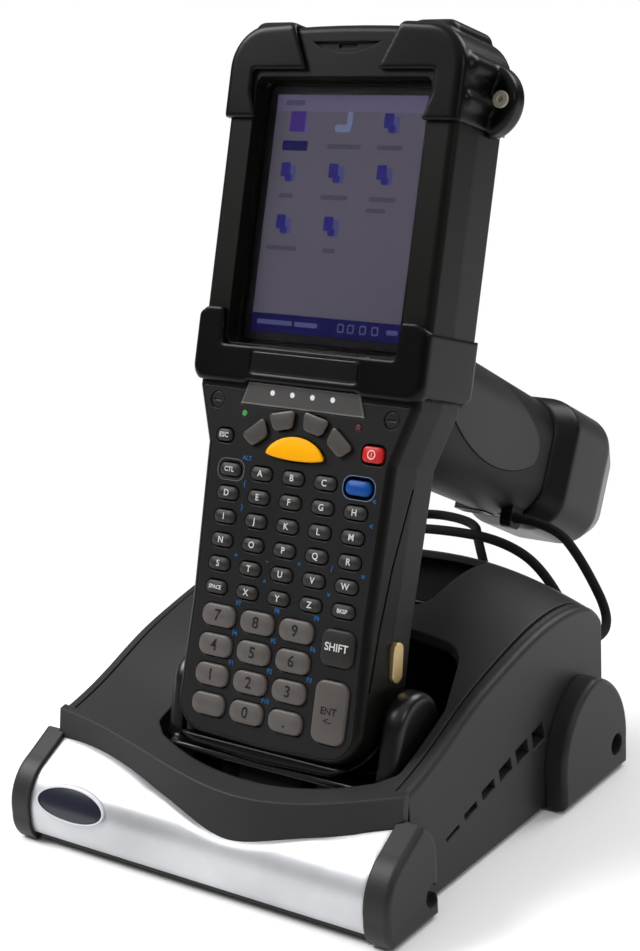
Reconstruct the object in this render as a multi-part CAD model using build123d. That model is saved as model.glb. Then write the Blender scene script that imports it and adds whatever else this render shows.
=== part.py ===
from build123d import *
import math
import os

os.makedirs("parts", exist_ok=True)

# Rugged pistol-grip data terminal standing in its desktop charging cradle.
# World frame: X to the right, Y to the back, Z up, origin on the desk under the
# middle of the cradle. Millimetres throughout.
# The terminal is drawn upright in a frame of its own: x across, y from the face
# into the depth, z up its length from the foot. DOCK then tilts it into the cradle.

# ---------------------------------------------------------------- terminal sizes
body_length = 172.0        # foot of the housing to the middle of the display
foot_shoe = 3.0            # rubber under the foot of the housing
face_front = 6.0           # face of the housing in front of the display plane
head_width = 87.0
head_above = 59.5          # display middle to the top of the head
head_below = 56.0          # display middle to the bottom of the head
head_depth = 21.0          # side walls behind the display plane
head_corner = 13.0
head_crown = 2.0           # the top edge bows up by this much in the middle
body_width = 73.0
body_depth = 18.0
shoulder_drop = 20.0       # head bottom to the point where the body is narrow
waist_pinch = 1.2          # the body is this much narrower at its waist, each side
foot_corner = 12.0
foot_bow = 1.4             # the foot's edge bows down by this much in the middle
shell_wall = 2.2
edge_round = 2.6
parting_depth = 8.0        # front shell behind the display plane
fit_gap = 0.15             # clearance between pieces that are fixed together

display_width = 57.6       # lit area
display_height = 76.8
window_width = 67.0        # opening of the head's face
window_height = 86.0
glass_thick = 1.4
scoop_half = 13.0          # half-moon dip above the display
scoop_chord = 54.0         # display middle to its straight top edge
scoop_deep = 3.6
groove_width = 0.9
groove_depth = 0.5
glass_sink = 5.0           # face of the head to the face of the glass
lcd_thick = 4.0

bumper_wall = 1.2          # rubber outside the head
bumper_round = 2.4
bumper_arm = 30.0          # length along the top and the side
bumper_face = 1.8          # rubber in front of the face
lobe_depth = 26.0          # raised lobes on the upper bumpers
lug_radius = 12.0          # strap tab on the right bumper
lug_thick = 8.0
lug_hole = 1.6
eyelet_rim = 1.1            # flange of the eyelet beyond its hole
lower_bumper_height = 24.0
nameplate_width = 41.0
nameplate_height = 6.6
nameplate_thick = 0.8

plate_thick = 2.0          # keypad face plate
key_gap = 0.25             # clearance round a key in the plate
key_travel = 0.8
key_flange = 0.9           # rim under the plate that keeps a key in
flange_thick = 0.8
flange_gap = 0.2
letter_pitch = 12.52
letter_row_pitch = 7.67
letter_width = 8.7
letter_height = 4.7
letter_first_row = 84.0    # display middle to the first letter row
number_pitch = 15.45
number_row_pitch = 9.66
number_width = 13.2
number_height = 7.2
number_first_row = 131.3
number_first_column = 22.4
side_column = 24.8         # SHIFT and ENTER
edge_key_inset = 7.6       # power and escape keys, from the side of the body
edge_key_rise = 10.8       # and above the first letter row
mat_thick = 1.2
board_thick = 1.6

hump_width = 52.0          # scan engine housing on the back of the head
hump_depth = 24.0
scan_width = 34.0
scan_height = 14.0

grip_root = 49.5           # display middle to the grip axis at the back of the head
grip_droop = 10.5          # degrees that the grip leans towards the foot
grip_length = 113.0
grip_width = 35.0
grip_height = 50.0
grip_taper = 3.0
grip_round = 15.5
sleeve_wall = 2.0
butt_width = 43.0
butt_height = 51.0
butt_length = 55.0
butt_flare = 9.0           # length of the slope from the grip out to the full butt
butt_bevel = 18.0          # length of the facets round the end face
butt_end_width = 29.0
butt_end_height = 38.0
cell_width = 22.0
cell_height = 34.0
cell_bevel = 5.0
cell_length = 84.0
trigger_width = 13.0
trigger_pin_radius = 1.5
trigger_boss = 4.6
pin_fit = 0.05
latch_width = 13.0
latch_length = 9.0
latch_thick = 3.2
latch_travel = 1.2

# ---------------------------------------------------------------- cradle sizes
cradle_width = 140.0
cradle_back = 73.0         # rear wall behind the origin
cradle_front = 52.0        # side walls end this far before the origin
foot_height = 1.5
floor_wall = 2.5
side_wall = 4.2
rear_wall = 3.3
cover_wall = 3.0
cover_gap = 0.8            # visible groove round the top cover
panel_width = 136.0        # bright front panel between the end caps
panel_wall = 2.0
cap_width = 9.0
rear_cap_width = 8.0
cap_hole = 8.0

dock_x = 14.0              # middle of the terminal, right of the cradle's middle
dock_y = -47.3
dock_z = 37.2
dock_tilt = 17.25
well_wall = 2.5
well_gap = 1.2
pocket_bulge = 10.6        # opening in the cover before the terminal's display plane
pocket_back = 46.0         # and behind it
well_side_height = 16.0
well_leg = 22.2            # posts under the well's floor
horn_height = 30.0
horn_thick = 7.0
horn_length = 25.0
horn_round = 3.0
spare_width = 50.0
spare_length = 30.0
spare_depth = 36.0
spare_wall = 2.0
spare_x = -2.0
spare_y = 42.0
spare_top = 56.0
spare_flare = 11.0         # the mouth is wider than the well by this much, each side
foot_pad_radius = 8.0
foot_pad_inset = 10.0      # from the ends of the front panel
rear_pad_inset = 12.0      # from the side walls
foot_pad_reach = 58.0      # front and rear pads from the origin
ridge_round = 2.5
lanyard_diameter = 3.6
LANYARD_ROUTE = [
    (23.0, 93.1, 80.1), (40.5, 93.3, 80.1), (48.0, 101.0, 65.0), (59.0, 104.5, 40.0), (60.5, 77.8, 41.5),
    (45.0, 78.5, 68.0), (27.0, 79.0, 76.2), (2.0, 79.0, 76.6), (-24.0, 78.5, 74.0), (-23.5, 104.0, 73.0),
    (1.5, 103.5, 72.5), (10.0, 90.5, 70.0), (16.5, 86.5, 56.5),
]

# ---------------------------------------------------------------- derived places
display_z = foot_shoe + body_length
head_top = display_z + head_above
head_bottom = display_z - head_below
shoulder_z = head_bottom - shoulder_drop
parting = face_front + parting_depth
glass_front = glass_sink - face_front
lcd_front = glass_front + glass_thick + 0.3
plate_back = plate_thick - face_front
flange_front = plate_back + flange_gap
flange_back = flange_front + flange_thick
mat_front = flange_back + key_travel + 0.3
board_front = mat_front + mat_thick + 0.3
letter_row_z = display_z - letter_first_row
number_row_z = display_z - number_first_row
hump_back = head_depth + hump_depth
DOCK = Pos(dock_x, dock_y, dock_z) * Rot(-dock_tilt, 0, 0)
GRIP = Pos(0, head_depth - 1.0, display_z - grip_root) * Rot(-grip_droop, 0, 0)

nodes = {}


# ---------------------------------------------------------------- small helpers
def front_slab(sketch, front, back):
    """Extrude an X-Z sketch through the depth, from y = front to y = back."""
    return extrude(Plane.XZ.offset(-back) * sketch, amount=back - front)


def side_slab(sketch, left, right):
    """Extrude a Y-Z sketch across, from x = left to x = right."""
    return extrude(Plane.YZ.offset(left) * sketch, amount=right - left)


def plan_slab(sketch, low, high):
    return extrude(Plane.XY.offset(low) * sketch, amount=high - low)


def block(x0, x1, y0, y1, z0, z1):
    return Pos((x0 + x1) / 2, (y0 + y1) / 2, (z0 + z1) / 2) * Box(x1 - x0, y1 - y0, z1 - z0)


def rod_y(x, z, radius, y0, y1):
    return Pos(x, (y0 + y1) / 2, z) * Rot(90, 0, 0) * Cylinder(radius, y1 - y0)


def rod_x(y, z, radius, x0, x1):
    return Pos((x0 + x1) / 2, y, z) * Rot(0, 90, 0) * Cylinder(radius, x1 - x0)


def rod_z(x, y, radius, z0, z1):
    return Pos(x, y, (z0 + z1) / 2) * Cylinder(radius, z1 - z0)


def mirrored(shape):
    return mirror(shape, about=Plane.YZ)


def group(shapes):
    """Several solids that make up one piece."""
    return Compound([solid for shape in shapes for solid in shape.solids()])


def pair(shape):
    return group([shape, mirrored(shape)])


def keep(name, shape, place=Location()):
    nodes[name] = place * shape


# ---------------------------------------------------------------- terminal outlines
def head_outline(margin=0.0, low_corner=3.0):
    """Outline of the head: bowed top with large corners, small corners at the bottom."""
    half = head_width / 2 - margin
    low = head_bottom + margin
    high = head_top - head_crown - margin
    outline = make_face([
        Polyline((half, high), (half, low), (-half, low), (-half, high)),
        ThreePointArc((-half, high), (0, high + head_crown), (half, high))])
    outline = fillet(outline.vertices().sort_by(Axis.Y)[-2:], head_corner - margin)
    return fillet(outline.vertices().sort_by(Axis.Y)[:2], max(low_corner - margin, 0.5))


def body_outline(margin=0.0):
    """Keypad half of the housing: shoulders, a slight waist and a rounded foot."""
    half = body_width / 2 - margin
    waist_z = foot_shoe + 45.0
    top = head_bottom + 22.0
    foot = foot_shoe + margin
    right = [
        (head_width / 2 - margin - 1.0, top),
        (head_width / 2 - margin - 1.0, head_bottom - 2.0),
        (half, shoulder_z),
        (half - waist_pinch, waist_z),
        (half, foot + foot_bow),
        (0, foot),
    ]
    left = [(-x, z) for x, z in reversed(right[:-1])]
    outline = make_face(Polyline(*right, *left, close=True))
    corners = [v for v in outline.vertices() if abs(v.Y - foot - foot_bow) < 0.01]
    return fillet(corners, foot_corner - margin)


def grip_section(along, grow):
    half_taper = grip_taper * along / grip_length
    width = grip_width - half_taper + 2 * grow
    height = grip_height - half_taper + 2 * grow
    section = RectangleRounded(width, height, grip_round + grow)
    return Plane.XZ.offset(-along) * section


def grip_solid(grow, start=-14.0, end=grip_length):
    """The grip from its root to the butt; grow moves its skin out or in."""
    return loft([grip_section(start, grow), grip_section(end, grow)], ruled=True)


# ---------------------------------------------------------------- terminal housings
def terminal_outer():
    head = front_slab(head_outline(), -face_front, head_depth)
    head = fillet(head.faces().sort_by(Axis.Y)[0].edges(), edge_round)
    body = front_slab(body_outline(), -face_front + 0.02, body_depth)
    body = fillet(body.faces().sort_by(Axis.Y)[0].edges(), edge_round)
    return head + body


def terminal_cavity():
    """Inside of both shells; it is open at the front below the head, for the keypad."""
    head = front_slab(head_outline(shell_wall), -face_front + shell_wall, head_depth - shell_wall)
    outline = body_outline(shell_wall)
    body = front_slab(outline, -face_front + shell_wall, body_depth - shell_wall)
    keypad = front_slab(outline & keypad_region(), -face_front - 1, 0)
    return head + body + keypad


def keypad_region(margin=0.0):
    top = head_bottom - 1.5 - margin
    return Pos(0, top - 100) * Rectangle(200, 200)


def hump_profile(margin=0.0):
    back = hump_back - margin
    top = head_top - 6 - margin
    return make_face(Polyline(
        (head_depth - 6, top), (head_depth + 2, top), (back - 2, top - 9), (back, top - 14),
        (back, display_z + 2), (back - 5, display_z - 14), (back - 9, display_z - 24),
        (head_depth + 7 - margin, display_z - 66), (head_depth - 6, display_z - 72),
        close=True))


def hump_solid(margin=0.0):
    half = hump_width / 2 - margin
    return side_slab(hump_profile(margin), -half, half)


def front_half():
    """Everything in front of the line where the front and rear shells meet."""
    return block(-80, 80, -40, parting_depth, -10, head_top + 40)


def trigger_axis():
    return head_depth + 12.0, display_z - 13.0


def lens_outline(margin=0.0):
    top = head_bottom + 1.0
    return make_face(Polyline((-21.6 + margin, top - margin), (21.6 - margin, top - margin),
                              (24.0 - margin, top - 7.4 + margin), (-24.0 + margin, top - 7.4 + margin),
                              close=True))


def speaker_scoop():
    """Half-moon dip in the head's face above the display, and the slot in its floor."""
    chord = display_z + scoop_chord
    moon = make_face([
        Line((-scoop_half, chord), (scoop_half, chord)),
        ThreePointArc((scoop_half, chord), (0, chord - scoop_deep), (-scoop_half, chord))])
    slot = Pos(0, chord - 1.2) * SlotOverall(7.0, 1.6)
    return front_slab(moon, -20, -face_front + 1.1) + front_slab(slot, -20, -face_front + 1.8)


def side_groove():
    """Shallow line down both sides of the keypad body."""
    top = (7.2, foot_shoe + 89.5)
    middle = (1.9, foot_shoe + 65.0)
    low = (-2.6, foot_shoe + 25.7)
    half = groove_width / 2
    strip = make_face(Polyline((top[0] - half, top[1]), (middle[0] - half, middle[1]), (low[0] - half, low[1]),
                               (low[0] + half, low[1]), (middle[0] + half, middle[1]),
                               (top[0] + half, top[1]), close=True))
    return pair(side_slab(strip, body_width / 2 - waist_pinch - groove_depth, body_width / 2 + 5))


def build_front_housing():
    shell = (terminal_outer() - terminal_cavity()) & front_half()
    shell = shell - speaker_scoop() - side_groove()
    seat = glass_front + glass_thick
    window = RectangleRounded(window_width, window_height, 3)
    rim = RectangleRounded(window_width + 4, window_height + 4, 5)
    ledge = RectangleRounded(window_width - 3, window_height - 3, 2)
    shell += front_slab(Pos(0, display_z) * rim, -face_front + 0.5, seat + 1.2)
    shell -= front_slab(Pos(0, display_z) * window, -face_front - 1, seat)
    shell -= front_slab(Pos(0, display_z) * ledge, seat - 1, seat + 5)
    shell -= front_slab(lens_outline(-fit_gap), -20, plate_back)
    shell = shell - dock_room() - pair(side_bar(fit_gap))
    for x, z in screw_places():
        outward = math.copysign(head_width / 2 - 3.0, x)
        rib = block(min(x, outward), max(x, outward), plate_back, parting_depth, z - 1, z + 1)
        shell += (rod_y(x, z, 3.0, plate_back, parting_depth) + rib) & terminal_outer()
        shell -= rod_y(x, z, 1.2, plate_back - 1, parting_depth + 1)
    keep("front_housing", shell, DOCK)


def screw_places():
    return [(-33.9, head_bottom - 6.0), (33.9, head_bottom - 6.0)]


def dock_room():
    """Room in the foot for the charging connector."""
    return block(-12.7, 12.7, 1.2, 9.8, -5, foot_shoe + 8.2)


def scan_opening():
    top = head_top - 6
    return block(-scan_width / 2, scan_width / 2, head_depth + 3.5,
                 head_depth + 3.5 + scan_height, top - 16, top + 8)


def build_rear_housing():
    rear = (terminal_outer() - terminal_cavity()) - front_half()
    hump = hump_solid() - front_half()
    inner = hump_solid(shell_wall) & block(-60, 60, head_depth - shell_wall - 1, 99, -99, 999)
    pin_y, pin_z = trigger_axis()
    half = trigger_width / 2 + 0.5
    ears = [block(half if side > 0 else -half - 3.4, half + 3.4 if side > 0 else -half,
                  pin_y - 6, hump_back, pin_z - 7, pin_z + 8) & hump_solid() for side in (-1, 1)]
    rear = rear + (hump - inner) + ears
    rear = rear - scan_opening() - dock_room() - pair(side_bar(fit_gap))
    engine_low, engine_high = head_top - 6 - 32, head_top - 6 - 16
    rear -= block(-13, 13, head_depth - shell_wall - 1, head_depth + 1, engine_low, engine_high)
    rear -= GRIP * grip_solid(fit_gap - sleeve_wall)
    rear -= block(-half, half, head_depth + 2.3, hump_back + 9, display_z - 45, pin_z + 7)
    rear -= rod_x(pin_y, pin_z, trigger_pin_radius, -half - 3.4, half + 3.4)
    keep("rear_housing", rear, DOCK)


# ---------------------------------------------------------------- display
def build_display():
    glass = Pos(0, display_z) * RectangleRounded(window_width - 2 * fit_gap,
                                                 window_height - 2 * fit_gap, 2.8)
    keep("touch_panel", front_slab(glass, glass_front, glass_front + glass_thick), DOCK)
    module = Pos(0, display_z) * RectangleRounded(window_width - 3.6, window_height - 3.6, 2)
    lcd = front_slab(module, lcd_front, lcd_front + lcd_thick)
    back = lcd_front + lcd_thick
    tray = Pos(0, display_z) * Rectangle(window_width - 10, window_height - 10)
    lcd += front_slab(tray, back, back + 1.2)
    keep("lcd_module", lcd, DOCK)


# ---------------------------------------------------------------- rubber bumpers
def bumper_outline(grow, low_corner=5.0):
    return head_outline(-grow, low_corner)


def upper_bumper():
    """A cup over the right corner of the head, with a raised knuckle on top."""
    solid = front_slab(bumper_outline(bumper_wall), -face_front - bumper_face, head_depth + 1.5)
    solid = fillet(solid.faces().sort_by(Axis.Y)[0].edges(), bumper_round)
    reach = head_width / 2 + 9
    arm_x = head_width / 2 - bumper_arm
    arm_z = head_top - bumper_arm
    corner = make_face(Polyline((arm_x + 11, head_top + 9), (reach, head_top + 9), (reach, arm_z),
                                (head_width / 2 - 12, arm_z), (window_width / 2 + 1, arm_z + 8),
                                (window_width / 2 + 1, display_z + window_height / 2 + 2),
                                (arm_x, display_z + window_height / 2 + 2), close=True))
    solid &= front_slab(corner, -face_front - 9, head_depth + 9)
    side = head_width / 2 + bumper_wall
    for x, z, width, height in ((head_width / 2 - 13.5, head_top - 2.2, 17.0, 8.0),
                                (side - 5.0, head_top - 12.5, 13.0, 9.0),
                                (side - 3.2, head_top - 22.5, 9.0, 6.5)):
        lobe = Pos(x, lobe_depth / 2 - 5.5, z) * Box(width, lobe_depth, height)
        solid += fillet(lobe.edges(), min(width, height) / 2 - 0.4)
    solid -= head_envelope()
    return solid


def head_envelope():
    """The head itself, for hollowing what is worn over it."""
    head = front_slab(head_outline(-fit_gap), -face_front - fit_gap, head_depth + 0.5)
    head = fillet(head.faces().sort_by(Axis.Y)[0].edges(), edge_round)
    return head + front_slab(head_outline(-fit_gap - 0.2), head_depth - 0.5, head_depth + 20)


def build_upper_bumpers():
    right = upper_bumper()
    left = mirrored(right)
    lug_x = head_width / 2 + bumper_wall
    lug_z = head_top - 20.0
    lug_y = 11.0
    lug = rod_y(lug_x - 4.0, lug_z, lug_radius, lug_y, lug_y + lug_thick)
    lug = fillet(lug.edges(), 2.0) & block(lug_x - 3.5, lug_x + 20, -40, 40, 0, head_top + 20)
    right = right + (lug - head_envelope())
    hole_x = lug_x + 3.4
    right -= rod_y(hole_x, lug_z, lug_hole, -20, 60)
    right -= rod_y(hole_x, lug_z, lug_hole + eyelet_rim + fit_gap, -20, lug_y)
    keep("bumper_upper_right", right, DOCK)
    keep("bumper_upper_left", left, DOCK)
    eyelet = rod_y(hole_x, lug_z, lug_hole - fit_gap / 2, lug_y - 0.5, lug_y + lug_thick + 0.5)
    eyelet += rod_y(hole_x, lug_z, lug_hole + eyelet_rim, lug_y - 0.7, lug_y)
    eyelet -= rod_y(hole_x, lug_z, lug_hole - 0.7, lug_y - 2, lug_y + lug_thick + 2)
    return eyelet


def build_lower_bumper():
    solid = front_slab(bumper_outline(bumper_wall), -face_front - bumper_face - 0.6, head_depth + 1.0)
    solid = fillet(solid.faces().sort_by(Axis.Y)[0].edges(), bumper_round)
    low = head_bottom
    high = head_bottom + lower_bumper_height
    bar_top = display_z - window_height / 2 - 0.6
    half = head_width / 2 + 9
    inner = window_width / 2 + 0.8
    band = make_face(Polyline((-half, low), (half, low), (half, high - 8), (head_width / 2 - 3, high),
                              (inner, high), (inner - 1, bar_top), (-inner + 1, bar_top),
                              (-inner, high), (-head_width / 2 + 3, high), (-half, high - 8),
                              close=True))
    solid &= front_slab(band, -face_front - 9, head_depth + 9)
    solid -= head_envelope()
    solid -= terminal_outer()
    solid -= front_slab(lens_outline(-fit_gap), -20, 10)
    solid -= front_slab(nameplate_outline(-fit_gap), -20, nameplate_front() + nameplate_thick)
    keep("bumper_lower", solid, DOCK)
    plate = front_slab(nameplate_outline(), nameplate_front(), nameplate_front() + nameplate_thick)
    keep("nameplate", plate, DOCK)


def nameplate_front():
    return -face_front - bumper_face - 0.6 + 0.2


def nameplate_outline(margin=0.0):
    middle = display_z - window_height / 2 - 5.7
    return Pos(0, middle) * RectangleRounded(nameplate_width - 2 * margin,
                                             nameplate_height - 2 * margin, 1.0)


def build_foot_shoe():
    """Rubber shoe round the foot of the housing."""
    half = body_width / 2 + 1.0
    outer = make_face(Polyline((-half, 18), (-half, foot_bow), (0, 0), (half, foot_bow), (half, 18),
                               close=True))
    outer = fillet([v for v in outer.vertices() if abs(v.Y - foot_bow) < 0.01], foot_corner + 1.0)
    shoe = front_slab(outer, -face_front - 0.8, body_depth + 0.8)
    shoe = fillet(shoe.faces().sort_by(Axis.Y)[0].edges().sort_by(Axis.Z)[:-1], 1.5)
    shoe -= front_slab(body_outline(-fit_gap), -face_front - 0.01, body_depth + 0.01)
    slope = make_face(Polyline((-face_front - 3, 4.4), (-face_front + 3, 4.4), (parting_depth, 14.5),
                               (body_depth + 4, 14.5), (body_depth + 4, 30), (-face_front - 3, 30),
                               close=True))
    shoe -= side_slab(slope, -60, 60)
    slot = block(-13, 13, 1.0, 10.0, -1, 8)
    keep("bottom_shoe", shoe - slot, DOCK)


# ---------------------------------------------------------------- keypad
def oval(width, height):
    return RectangleRounded(width, height, min(width, height) * 0.49)


def soft_rect(width, height):
    return RectangleRounded(width, height, min(width, height) * 0.36)


def half_moon(margin=0.0):
    half = 11.4 - margin
    top = 5.4 - margin
    bottom = -2.4 + margin
    outline = ThreePointArc((-half, 0), (0, top), (half, 0))
    under = ThreePointArc((half, 0), (0, bottom), (-half, 0))
    face = make_face([outline, under])
    return fillet(face.vertices(), 0.9)


def letter_rows():
    rows = []
    for row in range(6):
        columns = (-1, 0, 1) if row == 0 else (-2, -1, 0, 1, 2)
        z = letter_row_z - row * letter_row_pitch
        rows.append([(column * letter_pitch, z) for column in columns])
    return rows


def number_rows():
    return [[(column * number_pitch - number_first_column, number_row_z - row * number_row_pitch)
             for column in range(3)] for row in range(4)]


def key_table():
    """Name of a key or row, its cap outline, its places and how far it stands out."""
    table = []
    names = ("letter_row_abc", "letter_row_defgh", "letter_row_ijklm", "letter_row_nopqr",
             "letter_row_stuvw", "letter_row_xyz")
    for name, places in zip(names, letter_rows()):
        table.append((name, oval(letter_width, letter_height), places, 1.1))
    names = ("number_row_789", "number_row_456", "number_row_123", "number_row_zero")
    for name, places in zip(names, number_rows()):
        table.append((name, soft_rect(number_width, number_height), places, 1.5))
    top_z = letter_row_z + edge_key_rise
    side = 2 * letter_pitch
    edge = body_width / 2 - edge_key_inset
    table.append(("escape_key", oval(7.0, 4.8), [(-edge, top_z)], 1.0))
    table.append(("power_key", soft_rect(8.6, 6.2), [(edge, top_z)], 1.3))
    table.append(("control_key", oval(letter_width, letter_height), [(-side, letter_row_z)], 1.1))
    table.append(("function_key", oval(11.0, 6.4), [(side, letter_row_z)], 1.3))
    shift_z = number_row_z - 0.28 * number_row_pitch
    table.append(("shift_key", soft_rect(12.4, 11.6), [(side_column, shift_z)], 1.4))
    enter_z = number_row_z - 2.36 * number_row_pitch
    table.append(("enter_key", soft_rect(12.6, 20.0), [(side_column, enter_z)], 1.5))
    table.append(("scan_key", half_moon(), [(0, letter_row_z + 7.6)], 2.0))
    app = make_face(Polyline((-3.2, -2.9), (3.2, -2.9), (4.3, 2.9), (-4.3, 2.9), close=True))
    app = fillet(app.vertices(), 1.5)
    for number, (x, z, turn) in enumerate([(-15.9, 12.7, 38), (-6.2, 17.6, 12), (6.2, 17.6, -12),
                                           (15.9, 12.7, -38)], start=1):
        table.append((f"app_key_{number}", Rot(0, 0, turn) * app, [(x, letter_row_z + z)], 1.2))
    return table


def build_keys():
    plate = front_slab(key_plate_outline(fit_gap), -face_front, plate_back)
    for name, cap, places, proud in key_table():
        hole = offset(cap, amount=key_gap)
        rim = offset(cap, amount=key_flange)
        solids = []
        for x, z in places:
            plate -= front_slab(Pos(x, z) * hole, -face_front - 1, plate_back + 1)
            key = front_slab(Pos(x, z) * cap, -face_front - proud, flange_back)
            key = fillet(key.faces().sort_by(Axis.Y)[0].edges(), 0.5)
            key += front_slab(Pos(x, z) * rim, flange_front, flange_back)
            solids.append(key)
        keep(name, group(solids), DOCK)
    plate -= front_slab(lens_outline(-fit_gap), -face_front - 1, plate_back + 1)
    lights = []
    for x in (-22.1, 22.1):
        plate -= front_slab(Pos(x, head_bottom - 9.4) * Circle(1.0 + fit_gap), -20, 20)
        light = front_slab(Pos(x, head_bottom - 9.4) * Circle(1.0), -face_front - 0.2, board_front)
        lights.append(light)
    for x, z in screw_places():
        plate -= rod_y(x, z, 1.6, -20, 20)
        plate -= rod_y(x, z, 2.9, -20, -face_front + 0.9)
    keep("keypad_plate", plate, DOCK)
    keep("status_lights", group(lights), DOCK)


def key_plate_outline(margin=0.0):
    return offset(body_outline(shell_wall), amount=-margin) & keypad_region(margin)


def build_lens():
    lens = front_slab(lens_outline(), -face_front - 0.6, -face_front + 1.4)
    keep("indicator_lens", fillet(lens.faces().sort_by(Axis.Y)[0].edges(), 0.5), DOCK)


def inner_outline(margin):
    return offset(body_outline(shell_wall), amount=-margin)


def build_mat_and_board():
    region = Pos(0, (head_bottom - 16 + foot_shoe + 8) / 2) * Rectangle(
        200, head_bottom - 16 - foot_shoe - 8)
    mat = front_slab(inner_outline(1.0) & region, mat_front, mat_front + mat_thick)
    keep("key_mat", mat, DOCK)
    low = foot_shoe + 6
    board_region = Pos(0, (low + head_bottom - 8) / 2) * Rectangle(200, head_bottom - 8 - low)
    board = front_slab(inner_outline(0.8) & board_region, board_front, board_front + board_thick)
    for x, z in screw_places():
        board -= rod_y(x, z, 3.6, -20, 20)
    chips = [(-14, 40, 14, 14, 1.6), (12, 44, 12, 9, 1.2), (-10, 78, 18, 12, 1.8), (15, 76, 9, 9, 1.4)]
    back = board_front + board_thick
    for x, z, width, height, thick in chips:
        board += block(x - width / 2, x + width / 2, back, back + thick, z - height / 2, z + height / 2)
    keep("main_board", board, DOCK)
    body = block(-12.5, 12.5, 1.4, 9.6, 1.6, foot_shoe + 8)
    keep("dock_connector", body, DOCK)
    keep("side_contacts", pair(side_bar(0.0)), DOCK)


def side_bar(grow):
    """Brass contact bar in the right side wall, or its pocket when grown."""
    slot = Pos(10.2, 38.0) * Rot(0, 0, 8) * SlotOverall(13 + 2 * grow, 5.4 + 2 * grow, rotation=90)
    left = body_width / 2 - waist_pinch - 1.0 - grow
    return side_slab(slot, left, body_width / 2 + 0.5)


def build_scan_engine():
    top = head_top - 6
    y0 = head_depth + 3.5
    window = block(-scan_width / 2 + fit_gap, scan_width / 2 - fit_gap, y0 + fit_gap,
                   y0 + scan_height - fit_gap, top - 13, top - 11)
    keep("scan_window", window, DOCK)
    engine = block(-15, 15, y0 + 1, y0 + scan_height - 1, top - 32, top - 14)
    engine += rod_z(-6, y0 + scan_height / 2, 3.5, top - 14.5, top - 13.3)
    engine += block(-11, 11, head_depth - 1.5, y0 + 2, top - 30, top - 18)
    keep("scan_engine", engine, DOCK)


def build_screws(eyelet):
    screws = []
    for x, z in screw_places():
        screw = rod_y(x, z, 2.6, -face_front + 0.25, -face_front + 0.9)
        screw += rod_y(x, z, 1.1, -face_front + 0.5, parting_depth - 2)
        screw -= Pos(x, -face_front + 0.4, z) * Box(3.2, 0.5, 0.6)
        screws.append(screw)
    keep("housing_screws", group([*screws, eyelet]), DOCK)


# ---------------------------------------------------------------- pistol grip
def inlay_outline(margin=0.0):
    """Long lozenge on the side of the grip, in the grip's own Y-Z plane."""
    root = (20, 15)
    tip = (110, 0)
    outline = make_face([ThreePointArc(root, (70, -11), tip), ThreePointArc(tip, (70, 20), root)])
    return offset(fillet(outline.vertices(), 7.0), amount=-margin)


def latch_place():
    return -5.0, grip_length - 9.0


def build_grip():
    core = grip_solid(-sleeve_wall)
    cavity = block(-cell_width / 2 - 0.3, cell_width / 2 + 0.3, grip_length - cell_length - 0.6,
                   grip_length + 5, -cell_height / 2 - 0.3, cell_height / 2 + 0.3)
    cavity = chamfer(cavity.edges().filter_by(Axis.Y), cell_bevel)
    latch_x, latch_y = latch_place()
    under = grip_height / 2
    pit = block(latch_x - latch_width / 2 - 0.3, latch_x + latch_width / 2 + 0.3,
                latch_y - latch_length / 2 - 0.3, latch_y + latch_length / 2 + 0.3,
                -under - 5, -cell_height / 2 - 1.6)
    tail_cut = block(-60, 60, -40, -2, -60, 60)
    throat = block(-11, 11, -10, 12, -15, 15)
    shell = core - cavity - pit - tail_cut - throat
    keep("grip_shell", shell, DOCK * GRIP)

    collar = 16.0
    hollow = grip_solid(-sleeve_wall, -20.0, grip_length + 2)
    sleeve = grip_solid(0) - hollow - block(-60, 60, -40, collar, -60, 60)
    sleeve -= side_slab(inlay_outline(-fit_gap), -60, 60)
    sleeve -= pit
    eye_x, eye_y, eye_z = lanyard_eye()
    eye = block(eye_x - 2.2, eye_x + 2.2, eye_y - 4.2, eye_y + 4.2, eye_z - 4.0, eye_z + 5)
    eye = fillet(eye.edges().filter_by(Axis.X).group_by(Axis.Z)[0], 2.8)
    sleeve += eye - hollow
    sleeve -= rod_x(eye_y, eye_z, lanyard_diameter / 2 + 0.15, eye_x - 5, eye_x + 14)
    keep("grip_sleeve", sleeve, DOCK * GRIP)

    inlay = grip_solid(0.3) - hollow
    inlay &= side_slab(inlay_outline(), -60, 60)
    inlay -= block(-2.5, 2.5, -60, 200, -60, 60)
    keep("grip_inlays", inlay, DOCK * GRIP)


def lanyard_eye():
    """Middle of the eye under the grip, in the grip's own frame."""
    return 9.0, grip_length - 5.5, -grip_height / 2 + grip_taper / 2 - 0.2


def butt_section(along, width, height, corner):
    return Plane.XZ.offset(-along) * RectangleRounded(width, height, corner)


def build_battery():
    start = grip_length + 0.3
    end = grip_length + butt_length
    taper = grip_taper
    butt = loft([butt_section(start, grip_width - taper, grip_height - taper, 14),
                 butt_section(start + butt_flare, butt_width, butt_height, 14),
                 butt_section(end - butt_bevel, butt_width, butt_height, 14),
                 butt_section(end, butt_end_width, butt_end_height, 10)], ruled=True)
    cell = block(-cell_width / 2, cell_width / 2, grip_length - cell_length, start + 2,
                 -cell_height / 2, cell_height / 2)
    cell = chamfer(cell.edges().filter_by(Axis.Y), cell_bevel)
    keep("battery_pack", butt + cell, DOCK * GRIP)
    latch_x, latch_y = latch_place()
    skin = -(grip_height - grip_taper) / 2
    latch = block(latch_x - latch_width / 2, latch_x + latch_width / 2,
                  latch_y - latch_length / 2, latch_y + latch_length / 2, skin - 0.6, skin + latch_thick)
    latch = fillet(latch.edges().filter_by(Axis.Z), 1.5)
    for step in (-2.2, 0, 2.2):
        latch -= block(latch_x - 4.5, latch_x + 4.5, latch_y + step - 0.4, latch_y + step + 0.4,
                       skin - 1, skin - 0.1)
    keep("battery_latch", latch, DOCK * GRIP)


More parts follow.
